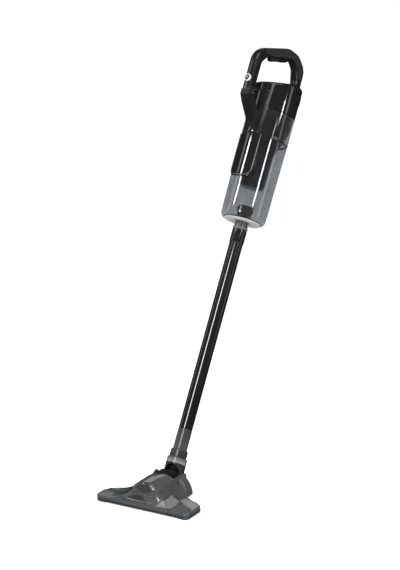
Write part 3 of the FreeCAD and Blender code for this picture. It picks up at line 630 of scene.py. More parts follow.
# soft grip moulded over the top of the loop
def grip_ring(I, O, lift, low):
    e = O - I
    h = np.linalg.norm(e)
    e = e / h
    w, ro = HW + 0.28 + lift, 6.0 + lift
    side = [(w, low * h)]
    side += [(w, low * h + (h - ro - low * h) * k / 4) for k in range(1, 4)]
    side += [(w - ro + ro * math.cos(math.radians(10 * k)), h + lift - ro + ro * math.sin(math.radians(10 * k))) for k in range(10)]
    side += [(w * 0.3, h + 0.35 + lift)]
    outer = side + [(-x, t) for x, t in reversed(side)]
    inner = [(x * 0.94, t - 0.7) for x, t in outer[::-1]]
    inner[0] = (-(w - 0.8), low * h)
    inner[-1] = (w - 0.8, low * h)
    return [(x, -(I[0] + e[0] * t), I[1] + e[1] * t) for x, t in outer + inner]


idx = [i for i in range(len(OUTER)) if (OUTER[i][0] < 100 and OUTER[i][1] > 1098) or (OUTER[i][0] < -40 and OUTER[i][1] > 1072)]
rings = []
for n_, i in enumerate(idx):
    edge = min(n_, len(idx) - 1 - n_)
    lift = 0.65 * min(1.0, (edge + 0.3) / 1.6)
    tq = OUTER[i][0]
    low = 0.16 + 0.30 * float(smooth(tq, 70, 98)) + 0.12 * float(smooth(-tq, 30, 60))
    rings.append(grip_ring(INNER[i], OUTER[i], lift, low))
piece("grip_overmould", *sweep(rings), UNIT, "main_unit", "soft_grip", replaces=["grip_pad"], sharp=50)

# trigger with two finger scallops
tb = round2([(63, 1091.5), (63.6, 1086), (60.5, 1082.2), (52, 1083.0), (40, 1087.6), (30, 1093.2), (20, 1094.6), (8, 1098.2), (-4, 1106.5), (-11, 1111.5),
             (-11.5, 1116.5), (8, 1110.8), (36, 1100.5)], [1.5, 2.5, 4, 8, 12, 8, 10, 12, 8, 2, 2, 4, 8], 5)
piece("trigger_lever", *prism_x(tb, -7.4, 7.4), UNIT, "trigger", "matte_black", mat="gloss_black", replaces=["trigger"], bevel=1.5, segs=4,
      limit=40)

# power button: ring with a light base colour as a painted reflection of its chrome, dished dark key with a plain
# moulded dot
BS = 1013.4
ring = round2([(7.5, 0.0), (9.6, 0.0), (9.6, 4.2), (9.0, 5.0), (8.0, 5.0), (7.5, 4.3)], [0.1, 0.1, 0.5, 0.5, 0.4, 0.3], 3)
piece("button_ring_trim", *turned(lathe(ring, 72), (0, -1, 0), (0, -119.6, BS)), UNIT, "main_unit", "chrome_trim",
      replaces=["button_ring"])
key = [(0, 0.0), (7.1, 0.0), (7.1, 4.6), (6.8, 5.1), (6.0, 5.2), (5.0, 4.9), (2.6, 4.5), (0, 4.4)]
kd = [(1.0, 4.5), (1.9, 4.5), (1.9, 4.85), (1.0, 4.85)]
piece("power_key", *join(turned(lathe(key, 64, closed=False), (0, -1, 0), (0, -119.9, BS))), UNIT,
      "power_button", "matte_black", mat="grey_plastic", replaces=["power_button"])
piece("power_key_mark", *turned(lathe(round2(kd, 0.12, 2), 40), (0, -1, 0), (0, -119.9, BS)), UNIT, "power_button",
      "chrome_trim", mat="light_grey")
# domed screw heads on the left half
sc = []
for q, s in [(108, 995), (108, 1055), (-51, 1106), (-57, 1072)]:
    hd = turned(lathe([(0, 0.0), (2.7, 0.0), (2.7, 0.5), (2.0, 1.0), (1.0, 1.15), (0.9, 0.5), (0, 0.5)], 28, closed=False),
                (-1, 0, 0), (-12.4, -q, s))
    sc.append(hd)
piece("handle_screw_heads", *join(*sc), UNIT, "main_unit", "steel", replaces=["handle_screws"])

# ------------------------------------------------------------------ dust bin
bout = [(45.9, 670.1), (49.0, 670.0), (52.2, 670.7), (55.0, 672.6), (57.0, 675.6), (58.1, 679.4), (58.5, 684), (58.9, 712), (59.4, 750),
        (60.0, 790), (60.6, 832), (61.1, 866), (61.3, 881.5)]
bin_in = [(59.2, 881.5), (58.95, 866), (58.45, 832), (57.85, 790), (57.25, 750), (56.75, 712), (56.3, 684.5), (55.7, 680.4), (54.2, 676.8),
          (51.6, 674.0), (48.6, 672.9), (45.9, 672.8)]
piece("dust_bin_clear", *lathe(bout + bin_in, 192), UNIT, "dust_bin", "smoke_clear", replaces=["dust_bin"], sharp=45)
# thin graduation ribs inside the clear bin wall, at the back
rb = [lathe(round2([(56.0, z_ - 0.5), (57.4, z_ - 0.5), (57.4, z_ + 0.5), (56.0, z_ + 0.5)], 0.2, 1), 8, 78, 102) for z_ in (720, 745, 770, 795)]
piece("dust_bin_marks", *join(*rb), UNIT, "dust_bin", "smoke_clear", mat="smoke_clear")
base = [(17.9, 672.3), (17.9, 668.4), (18.6, 667.4), (20.2, 667.1), (30, 666.4), (40, 666.5), (44.6, 667.0), (45.4, 667.8), (46.0, 667.8),
        (46.6, 667.2), (47.4, 667.6), (48.0, 668.6), (48.0, 670.0), (45.8, 670.2), (45.8, 672.3)]
piece("bin_base_disc", *lathe(base, 160), UNIT, "dust_bin", "light_grey", replaces=["bin_base"], sharp=35)
piece("bin_base_line", *lathe(round2([(47.7, 668.9), (49.1, 668.9), (49.1, 670.3), (47.7, 670.3)], 0.5, 3), 160), UNIT, "dust_bin",
      "black_rubber")
hinge = join(boxm(-9, 9, 45.2, 50.5, 667.4, 671.2), turned(lathe([(0, -10), (1.9, -10), (1.9, 10), (0, 10)], 24, closed=False), (1, 0, 0), (0, 50.2, 669.6)))
piece("bin_base_hinge", *hinge, UNIT, "dust_bin", "light_grey", bevel=0.5)
inl = [(14.3, 600.2), (15.9, 600.2), (15.9, 646.3), (17.6, 646.3), (17.6, 687), (18.4, 689.2), (20.4, 690.2), (21.2, 692), (21.2, 702.8),
       (20.0, 704.8), (17.2, 705.0), (16.8, 703.5), (16.8, 690.5), (14.3, 686)]
piece("inlet_pipe_turned", *lathe(inl, 96), UNIT, "dust_bin", "grey_plastic", replaces=["inlet_pipe"], sharp=35)
col = [(17.75, 647.2), (19.0, 647.1), (19.6, 647.7), (19.6, 651.2), (19.1, 652.3), (17.75, 652.6)]
piece("inlet_collar_ring", *lathe(col, 96), UNIT, "dust_bin", "light_grey", mat="collar_grey", replaces=["inlet_collar"])
flap = [lathe([(0, 706.1), (18.4, 706.1), (19.0, 706.5), (19.0, 707.3), (18.4, 707.8), (0, 708.4)], 64, closed=False),
        boxm(-6, 6, 17.5, 20.4, 704.0, 708.0)]
piece("inlet_flap_disc", *join(*flap), UNIT, "dust_bin", "black_rubber", replaces=["inlet_flap"], sharp=40)

# cyclone cone with shallow vertical ribs, mesh tube and its rounded tip
cn = [(58.7, 955.8), (58.7, 930), (58.2, 925.5), (57.3, 920.6), (54.6, 912.5), (47.5, 892.5), (41.0, 874.5), (37.0, 864), (34.4, 854.5),
      (33.2, 847), (32.6, 841.6), (32.0, 840.3), (29.8, 840.3), (29.8, 846), (33.0, 864), (50, 905), (55.9, 931), (55.9, 955.8)]
v, f = lathe(cn, 240)
ang = np.degrees(np.arctan2(v[:, 1], v[:, 0]))
rad = np.hypot(v[:, 0], v[:, 1])
wv = 0.5 * (1 + np.cos(np.radians(ang * 30)))
band = smooth(v[:, 2], 848, 866) * (1 - smooth(v[:, 2], 912, 922))
outer_side = np.array([i % len(cn) < 11 for i in range(len(v))])
k = 1 - (1.1 * wv ** 6 * band * outer_side) / np.maximum(rad, 1)
v[:, 0] *= k
v[:, 1] *= k
piece("cyclone_cone_ribbed", v, f, UNIT, "main_unit", "matte_black", replaces=["cyclone_cone"], sharp=40)
ms = [lathe([(30.3, 785.2), (31.7, 785.2), (31.7, 840.1), (30.3, 840.1)], 120)]
for z_ in (785.9, 799, 812.5, 826, 839.2):
    ms.append(lathe(round2([(31.2, z_ - 0.8), (32.3, z_ - 0.8), (32.3, z_ + 0.8), (31.2, z_ + 0.8)], 0.35, 2), 120))
for a in range(0, 360, 45):
    ms.append(lathe(round2([(31.2, 786), (32.2, 786), (32.2, 839), (31.2, 839)], 0.3, 2), 3, a, a + 2.6))
piece("filter_mesh_cage", *join(*ms), UNIT, "main_unit", "filter_black", replaces=["filter_mesh"])
tip = [(0, 756.8), (10, 756.9), (20, 757.3), (25.2, 758.3), (28.8, 760.6), (30.8, 764.2), (31.6, 768.5), (31.7, 776), (32.4, 777),
       (32.4, 783.4), (31.6, 784.9), (29.2, 784.9), (29.2, 768), (26.4, 762), (20, 759.8), (0, 759.6)]
piece("filter_tip_cap", *lathe(tip, 120, closed=False), UNIT, "main_unit", "grey_plastic", mat="neck_grey", replaces=["filter_tip"], sharp=35)

# ------------------------------------------------------------------ wand, sleeve, release key
tb_ = round2([(15.9, 118.9), (17.5, 118.9), (17.5, 645.0), (15.9, 645.0)], [0.3, 0.7, 0.5, 0.3], 3)
tl = []
for i in range(len(tb_)):
    a, b = np.array(tb_[i]), np.array(tb_[(i + 1) % len(tb_)])
    m_ = max(1, int(np.linalg.norm(b - a) / 40))
    tl += [tuple(a + (b - a) * k / m_) for k in range(m_)]
piece("wand_tube_drawn", *lathe(tl, 128), STICK, "wand", "tube_black", replaces=["wand_tube"], sharp=40)
sl = [lathe(round2([(17.45, 612), (18.3, 612), (18.7, 612.6), (18.7, 644.2), (18.2, 645), (17.45, 645)], 0.25, 2), 112)]
bs = round2([(-8.5, 614), (8.5, 614), (8.5, 641), (-8.5, 641)], 4.0, 6)
bi = round2([(-6.3, 617.7), (6.3, 617.7), (6.3, 637.3), (-6.3, 637.3)], 2.4, 6)
rings = [[(x, 14.0, z) for x, z in bs], [(x, 21.6, z) for x, z in bs], [(x * 0.93, 22.5, 627.5 + (z - 627.5) * 0.96) for x, z in bs],
         [(x * 1.03, 22.5, z) for x, z in bi], [(x, 22.0, z) for x, z in bi], [(x, 18.6, z) for x, z in bi]]
sl.append(sweep(rings, caps=True))
piece("wand_sleeve_turned", *join(*sl), STICK, "wand", "gloss_black", replaces=["wand_sleeve"], sharp=35)
kb = [boxm(-5.9, 5.9, 20.7, 23.4, 618.1, 636.9)]
piece("wand_key", *join(*kb), STICK, "wand_button", "grey_plastic", replaces=["wand_button"], bevel=1.0, segs=4)
kr = [prism_x(round2([(-23.2, z_ - 0.55), (-24.2, z_ - 0.3), (-24.2, z_ + 0.3), (-23.2, z_ + 0.55)], 0.15, 2), -4.4, 4.4) for z_ in (622, 624.6, 627.2, 629.8, 632.4)]
piece("wand_key_ribs", *join(*kr), STICK, "wand_button", "grey_plastic")

# ------------------------------------------------------------------ neck
ns = [(13.9, 66.1), (17.3, 66.1), (17.8, 66.8), (17.8, 112.6), (17.35, 113.1), (17.35, 113.9), (17.8, 114.4), (17.8, 117.4), (17.2, 118.4), (15.9, 118.5),
      (15.9, 150.4), (14.6, 151.8), (13.9, 151.8)]
piece("neck_socket_turned", *lathe(ns, 112), STICK, "neck_socket", "grey_plastic", mat="neck_grey", replaces=["neck_socket"], sharp=32)
sw = [(13.9, 31.2), (19.8, 31.2), (19.8, 45.4), (20.9, 45.5), (21.5, 46.2), (21.6, 47.4), (21.6, 62.8), (21.3, 64.6), (20.4, 65.7), (19.0, 66.0), (13.9, 66.0)]
piece("swivel_ring_turned", *lathe(sw, 112), STICK, "neck_socket", "grey_plastic", mat="neck_grey", replaces=["swivel_ring"], sharp=32)
sd = [prism_x(round2([(-21.4, 50.4), (-22.2, 50.8), (-22.2, 61.2), (-21.4, 61.6), (-19, 61.6), (-19, 50.4)], 0.3, 2), -2.1 + x, 2.1 + x) for x in (0,)]
piece("swivel_ring_mark", *join(*sd), STICK, "neck_socket", "grey_plastic", mat="neck_grey", bevel=0.4)

NP, NR = 181, 22
P, Q = np.zeros((NP, NR, 3)), np.zeros((NP, NR, 3))
for i in range(NP):
    a = math.radians(-270 + 360 * i / (NP - 1))
    x, y = 25.5 * math.cos(a), 25.5 * math.sin(a)
    ear = -math.sqrt(max(0.0, 144 - y * y)) if abs(y) < 12 else 1e9
    if y < 0:
        arch = 1 + math.sqrt(max(0.0, 25.0 ** 2 - min(abs(x), 25.0) ** 2))
    else:
        arch = 13.0 + 9.5 * (1 - float(smooth(abs(x), 13, 20)))
    low = min(arch, ear)
    for j in range(NR):
        t = j / (NR - 1)
        z = low + (30.2 - low) * t
        e = (30.2 - low) * t
        rr = 25.5 - 0.7 * (1 - min(e / 1.4, 1)) ** 2
        P[i, j] = (rr * math.cos(a), rr * math.sin(a), z)
        Q[i, j] = (22.7 * math.cos(a), 22.7 * math.sin(a), z)
lip = [(22.7, 29.8), (25.5, 29.8), (25.5, 42.6), (25.2, 43.8), (24.4, 44.7), (23.2, 45.0), (20.15, 45.0), (20.15, 31.2), (22.7, 31.2)]
caps = [turned(lathe([(0, 0), (4.3, 0), (4.3, 0.9), (3.7, 1.5), (0, 1.5)], 32, closed=False), (sg, 0, 0), (sg * 24.9, 0, 0)) for sg in (1, -1)]
piece("neck_collar_arched", *join(grid_patch(P, Q), lathe(lip, 144)), STICK, "neck_yoke", "grey_plastic", mat="collar_grey",
      replaces=["neck_collar"], sharp=40)
piece("neck_pin_caps", *join(*caps), STICK, "neck_yoke", "grey_plastic", mat="neck_grey", sharp=35)

# ribbed ball elbow, and the ribbed end of the duct that meets it
pr = []
for k in range(57):
    z = -14.0 + 40.0 * k / 56
    ph = (k % 4) / 4.0
    rr = math.sqrt(max(21.5 ** 2 - min(z, 15.9) ** 2, 0)) - (0.0 if k % 4 in (0, 1) else 1.5)
    pr.append((max(rr, 14.4), z))
bl = [(12.6, -14.0)] + pr + [(14.4, 27.4), (12.6, 27.4)]
v, f = lathe(bl, 96)
v = np.where((v[:, 1:2] < -17.2) & (v[:, 2:3] < 3), v * np.array([[1, 1, 1]]), v)
piece("elbow_bellows_ribbed", v, f, STICK, "neck_yoke", "black_rubber", replaces=["elbow_bellows"], sharp=60)
dp = [(12.2, 18.2), (13.7, 18.2), (13.7, 62.6)]
y_ = 63.0
while y_ < 88.6:
    r1 = 17.2 + 3.1 * min(1.0, (y_ - 63) / 10)
    dp += [(r1 - 1.7, y_), (r1, y_ + 0.55), (r1, y_ + 1.35), (r1 - 1.7, y_ + 1.9)]
    y_ += 2.35
dp += [(20.2, 89.6), (18.4, 89.6), (18.4, 75.4), (12.2, 67.6)]
v, f = lathe(dp, 96)
v = np.c_[v[:, 0], v[:, 2], v[:, 1] + 38.9]
dx = v - PIV
d = np.linalg.norm(dx, axis=1)
near = d < 22.05
v[near] = PIV + dx[near] / d[near][:, None] * 22.05
v2, f2 = boxm(-19.5, 19.5, 14.6, 17.9, 14, 52)
piece("suction_duct_ribbed", v, f, ROW, "floor_head", "black_rubber", replaces=["suction_duct"], sharp=60)

# ------------------------------------------------------------------ floor head cover
OUTL = round2([(-131, -50), (131, -50), (131, 16), (112, 31), (80, 42), (66, 56), (36, 62.3), (-36, 62.3), (-66, 56), (-80, 42), (-112, 31), (-131, 16)],
              [12, 12, 7, 16, 14, 10, 8, 8, 10, 14, 16, 7], 8)
BODY_ = round2([(-131, -50), (131, -50), (131, 16), (111, 31), (70, 42), (-70, 42), (-111, 31), (-131, 16)], [12, 12, 6, 14, 10, 10, 14, 6], 8)


def even(pts, step):
    res = []
    n = len(pts)
    for i in range(n):
        a, b = np.array(pts[i]), np.array(pts[(i + 1) % n])
        m = max(1, int(round(np.linalg.norm(b - a) / step)))
        res += [a + (b - a) * k / m for k in range(m)]
    return np.array(res)


def head_z(x, y):
    ax = abs(x)
    v_ = max(0.0, -12 - y) / 24.0
    w_ = max(0.0, y - 40) / 40.0
    g = 1.0 / (1.0 + (ax / 42.0) ** 3.6 + v_ ** 6 + 0.35 * w_ ** 2)
    z = 16 + 47.6 * g
    # flat-topped crest
    z = z if z < 58 else 58 + 6.2 * (1 - math.exp(-(z - 58) / 5.2)) * 1.12
    z -= 2.6 * (x / 26.0) ** 2 * float(smooth(z, 52, 60)) + 0.0011 * max(0.0, y - 8) ** 2 * float(smooth(z, 50, 60))
    # the plates run flat towards the ends, and the far end thins towards its rear corner
    z = 16 + (z - 16) * (1 - 0.92 * float(smooth(ax, 66, 104)))
    z -= 5.4 * float(smooth(-x, 52, 112)) * float(smooth(y, -16, 14))
    # shallow shelf lines across the plates
    z += 0.45 * float(smooth(ax - 0.55 * (y + 50), 84, 86)) * (1 - float(smooth(z, 19, 22)))
    return z


ol = even(OUTL, 2.4)
NR = 74
cen = np.c_[np.clip(ol[:, 0] * 85 / 131, -85, 85), np.full(len(ol), -4.0)]
rings = []
top = []
for i, (o_, c_) in enumerate(zip(ol, cen)):
    row = []
    for j in range(NR):
        t = j / (NR - 1)
        p = c_ + (o_ - c_) * t
        row.append((p[0], p[1]))
    top.append(row)
top = np.array(top)
Z = np.array([[head_z(x, y) for x, y in row] for row in top])
edge_d = np.linalg.norm(top - ol[:, None, :], axis=2)
rr_ = 2.4
Z -= rr_ * (1 - np.sqrt(np.clip(1 - (1 - np.clip(edge_d / rr_, 0, 1)) ** 2, 0, 1)))
NO = len(ol)
vs = [(top[i, j, 0], top[i, j, 1], Z[i, j]) for i in range(NO) for j in range(NR)]
fs = []
for i in range(NO):
    i2 = (i + 1) % NO
    for j in range(NR - 1):
        fs.append((i * NR + j, i2 * NR + j, i2 * NR + j + 1, i * NR + j + 1))
# side skirt from the cover's edge down to about 9 mm, turned inwards
base_i = len(vs)
wall = []
for i in range(NO):
    x, y = ol[i]
    wall.append((x, y))
levels = [0.0, 0.5, 1.0]
for i in range(NO):
    x, y = ol[i]
    zt = Z[i, -1]
    vs.append((x, y, min(10.0, zt - 0.1)))
    n_ = np.array([x - cen[i, 0], y - cen[i, 1]])
    n_ = n_ / max(np.linalg.norm(n_), 1e-6)
    vs.append((x - n_[0] * 0.7, y - n_[1] * 0.7, 9.3))
    vs.append((x - n_[0] * 3.0, y - n_[1] * 3.0, 9.3))
for i in range(NO):
    i2 = (i + 1) % NO
    fs.append((i * NR + NR - 1, i2 * NR + NR - 1, base_i + i2 * 3, base_i + i * 3))
    fs.append((base_i + i * 3, base_i + i2 * 3, base_i + i2 * 3 + 1, base_i + i * 3 + 1))
    fs.append((base_i + i * 3 + 1, base_i + i2 * 3 + 1, base_i + i2 * 3 + 2, base_i + i * 3 + 2))
piece("head_cover_shell", np.array(vs), fs, ROW, "floor_head", "grey_plastic", replaces=["head_cover"], sharp=42, weighted=False)


def over_patch(x0, x1, y0, y1, nx, ny, lift, edge_r, name, slot, mat, shape=None, deep=1.5, bow=0.0):
    """A close-fitting panel laid over the cover."""
    P, Q = np.zeros((nx, ny, 3)), np.zeros((nx, ny, 3))
    for i in range(nx):
        u = -1 + 2 * i / (nx - 1)
        for j in range(ny):
            t = j / (ny - 1)
            x, y = shape(u, t)
            z = head_z(x, y)
            P[i, j] = (x, y, z)
            Q[i, j] = (x, y, z - deep)
    # normals from the grid
    du = np.gradient(P, axis=0)
    dv = np.gradient(P, axis=1)
    n = np.cross(du, dv)
    n /= np.linalg.norm(n, axis=2)[..., None] + 1e-9
    n *= np.sign(n[..., 2:3] + 1e-9)
    du_l = np.cumsum(np.r_[np.zeros((1, ny)), np.linalg.norm(np.diff(P, axis=0), axis=2)], axis=0)
    dv_l = np.cumsum(np.c_[np.zeros((nx, 1)), np.linalg.norm(np.diff(P, axis=1), axis=2)], axis=1)
    e = np.minimum(np.minimum(du_l, du_l[-1:] - du_l), np.minimum(dv_l, dv_l[:, -1:] - dv_l))
    k = np.sqrt(np.clip(1 - (1 - np.clip(e / edge_r, 0, 1)) ** 2, 0, 1))
    P = P + n * (lift * (0.12 + 0.88 * k))[..., None]
    return piece(name, *grid_patch(P, Q), ROW, "floor_head", slot, mat=mat, sharp=70)


def cap_shape(u, t):
    y = -36.4 + 92.4 * t
    w_ = 24.5 + 12.8 * math.sqrt(max(0.0, 1 - (max(0.0, -12 - y) / 24.6) ** 2)) - 5.5 * float(smooth(y, 22, 56))
    s_ = math.copysign(abs(math.sin(u * math.pi / 2)) ** 0.92, u)
    return s_ * w_, y + 0.6 * u * u


def win_shape(u, t):
    half = 12.6 + 12.2 * t ** 0.8
    yb = -35.4 + 3.8 * u * u
    yt = -23.2 - 2.4 * u * u * u * u
    return 1.2 + u * half, yt + (yb - yt) * t


def between(top_, bot_):
    """Plan region between two matching polylines."""
    A, B = np.array(top_, float), np.array(bot_, float)
    la = np.r_[0, np.cumsum(np.linalg.norm(np.diff((A + B) / 2, axis=0), axis=1))]
    la = la / la[-1]

    def shape(u, t):
        k_ = (u + 1) / 2
        pa = [np.interp(k_, la, A[:, m]) for m in (0, 1)]
        pb = [np.interp(k_, la, B[:, m]) for m in (0, 1)]
        return pa[0] + (pb[0] - pa[0]) * t, pa[1] + (pb[1] - pa[1]) * t
    return shape


cap_o = over_patch(0, 0, 0, 0, 81, 91, 2.9, 2.2, "dome_cap_gloss", "grey_plastic", "cap_gloss", cap_shape)
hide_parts("dome_cap")
win_o = over_patch(0, 0, 0, 0, 57, 41, 3.7, 1.2, "front_window_dark", "gloss_black", "window_dark", win_shape)
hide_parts("front_window")
for sg, nm in ((1, "right"), (-1, "left")):
    T = [(1.0, -36.6), (14, -37.0), (26.8, -35.0), (34.5, -24), (37.5, -11.4), (37.2, 5), (36.5, 20), (33, 45)]
    B_ = [(19, -48.6), (27, -48.8), (38.0, -46.6), (47.6, -37), (53.0, -26), (51.8, -6), (48.5, 11.4), (40.5, 36)]
    if sg > 0:
        over_patch(0, 0, 0, 0, 121, 33, 1.7, 2.0, "nose_band_" + nm, "grey_plastic", "grey_plastic", between(T, B_))
    F_T = [(39, -48.4), (47.5, -39), (54.0, -27), (54.5, -8), (52.5, 9)]
    F_B = [(64, -46.5), (73.0, -43.6), (80.0, -38.5), (80.5, -16), (76.4, 7.6)]
    # right-hand facet in the lighter copy of the grey: painted light
    if sg > 0:
        over_patch(0, 0, 0, 0, 61, 25, 0.5, 0.8, "facet_" + nm, "grey_plastic", "painted_lit_grey", between(F_T, F_B))
    P_T = [(sg * 76.0, 11.5), (sg * 100, -1), (sg * 127.0, -14.5)]
    P_B = [(sg * 80.5, 33.4), (sg * 103, 29), (sg * 127.0, 14.6)]
    # the right end plate takes the lighter copy: painted light on the side that catches more light
    over_patch(0, 0, 0, 0, 41, 21, 0.5, 0.8, "end_plate_" + nm, "grey_plastic", "painted_lit_grey" if sg > 0 else "grey_plastic", between(P_T, P_B))
# dark sheet laid in the left front hollow under the wing: painted shade
over_patch(0, 0, 0, 0, 81, 25, 0.35, 0.7, "painted_shade_hollow_left", "grey_plastic", "neck_grey",
           between([(-58, -47.4), (-40.4, -39.4), (-24, -37.6), (-6, -37.4), (2.0, -38.2)],
                   [(-57, -48.8), (-38, -48.8), (-18, -48.9), (4, -48.9), (18.4, -48.9)]))


# lines let into the plates
def strip_line(x0, y0, x1, y1, w_, name, mat="matte_black", slot="grey_plastic", up=0.35):
    d_ = np.array([x1 - x0, y1 - y0], float)
    L_ = np.linalg.norm(d_)
    d_ /= L_
    n_ = np.array([-d_[1], d_[0]])
    NU, NV = max(8, int(L_ / 2)), 5
    P, Q = np.zeros((NU, NV, 3)), np.zeros((NU, NV, 3))
    for i in range(NU):
        for j in range(NV):
            p = np.array([x0, y0]) + d_ * L_ * i / (NU - 1) + n_ * w_ * (j / (NV - 1) - 0.5)
            z = head_z(p[0], p[1])
            P[i, j] = (p[0], p[1], z + up * math.sin(math.pi * j / (NV - 1)) ** 0.5 + 0.03)
            Q[i, j] = (p[0], p[1], z - 0.8)
    return grid_patch(P, Q)


ln = [strip_line(57, 19, 75, 12, 3.2, "a"), strip_line(-57, 19, -75, 12, 3.2, "a"),
      strip_line(111, -12, 127, -30, 2.6, "b"), strip_line(-111, -12, -127, -30, 2.6, "b"),
      strip_line(55.4, -24.3, 70.9, -43.4, 1.8, "c", up=0.9)]
piece("head_slot_lines", *join(*ln), ROW, "floor_head", "matte_black", sharp=60)

# chassis: side wall with a moulded line, floor, arched front lip
bo = even(BODY_, 2.6)
NB = len(bo)
cb = np.c_[np.clip(bo[:, 0] * 85 / 131, -85, 85), np.full(NB, -4.0)]
prof_n = 11
vs, fs = [], []
for i in range(NB):
    x, y = bo[i]
    n_ = bo[i] - cb[i]
    n_ = n_ / max(np.linalg.norm(n_), 1e-6)
    front = float(smooth(-y, 36, 46)) * (1 - float(smooth(abs(x), 92, 108)))
    low = 3.05 + 2.4 * front
    prof_ = [(-0.9, 9.25), (-0.2, 9.0), (0.0, 8.6), (0.0, 7.7), (-0.8, 7.4), (-0.8, 6.9), (0.0, 6.6), (0.0, low + 0.6), (-0.5, low), (-3.0, low), (-3.0, 9.25)]
    vs += [(x + n_[0] * a, y + n_[1] * a, z) for a, z in prof_]
for i in range(NB):
    i2 = (i + 1) % NB
    for j in range(prof_n):
        j2 = (j + 1) % prof_n
        fs.append((i * prof_n + j, i2 * prof_n + j, i2 * prof_n + j2, i * prof_n + j2))
piece("head_rim", np.array(vs), fs, ROW, "floor_head", "grey_plastic", mat="rim_grey", sharp=35)
# inner floor of the head, seen only from below and through the slots
fl = [boxm(-101, 101, -15, 29, 5.0, 7.0), boxm(-101, 101, -37.5, -36.5, 4.0, 9.0), boxm(-128, -104, -44, 14, 4.0, 7.0), boxm(104, 128, -44, 14, 4.0, 7.0),
      boxm(-31.5, 31.5, 38, 61.5, 5.2, 9.2)]
piece("head_floor", *join(*fl), ROW, "floor_head", "grey_plastic", mat="neck_grey", replaces=["head_chassis"], bevel=0.8)
# black strip set in the intake gap under the front rim: painted shade, with the comb teeth in front of it
bead = [boxm(-101, 101, -46.4, -45.2, 0.9, 6.6)]
bead += [boxm(x - 0.6, x + 0.6, -49.2, -39.5, 4.9, 8.6) for x in range(-96, 97, 16)]
piece("head_front_comb_and_gap_shade", *join(*bead), ROW, "floor_head", "matte_black", mat="matte_black", bevel=0.4, segs=2)

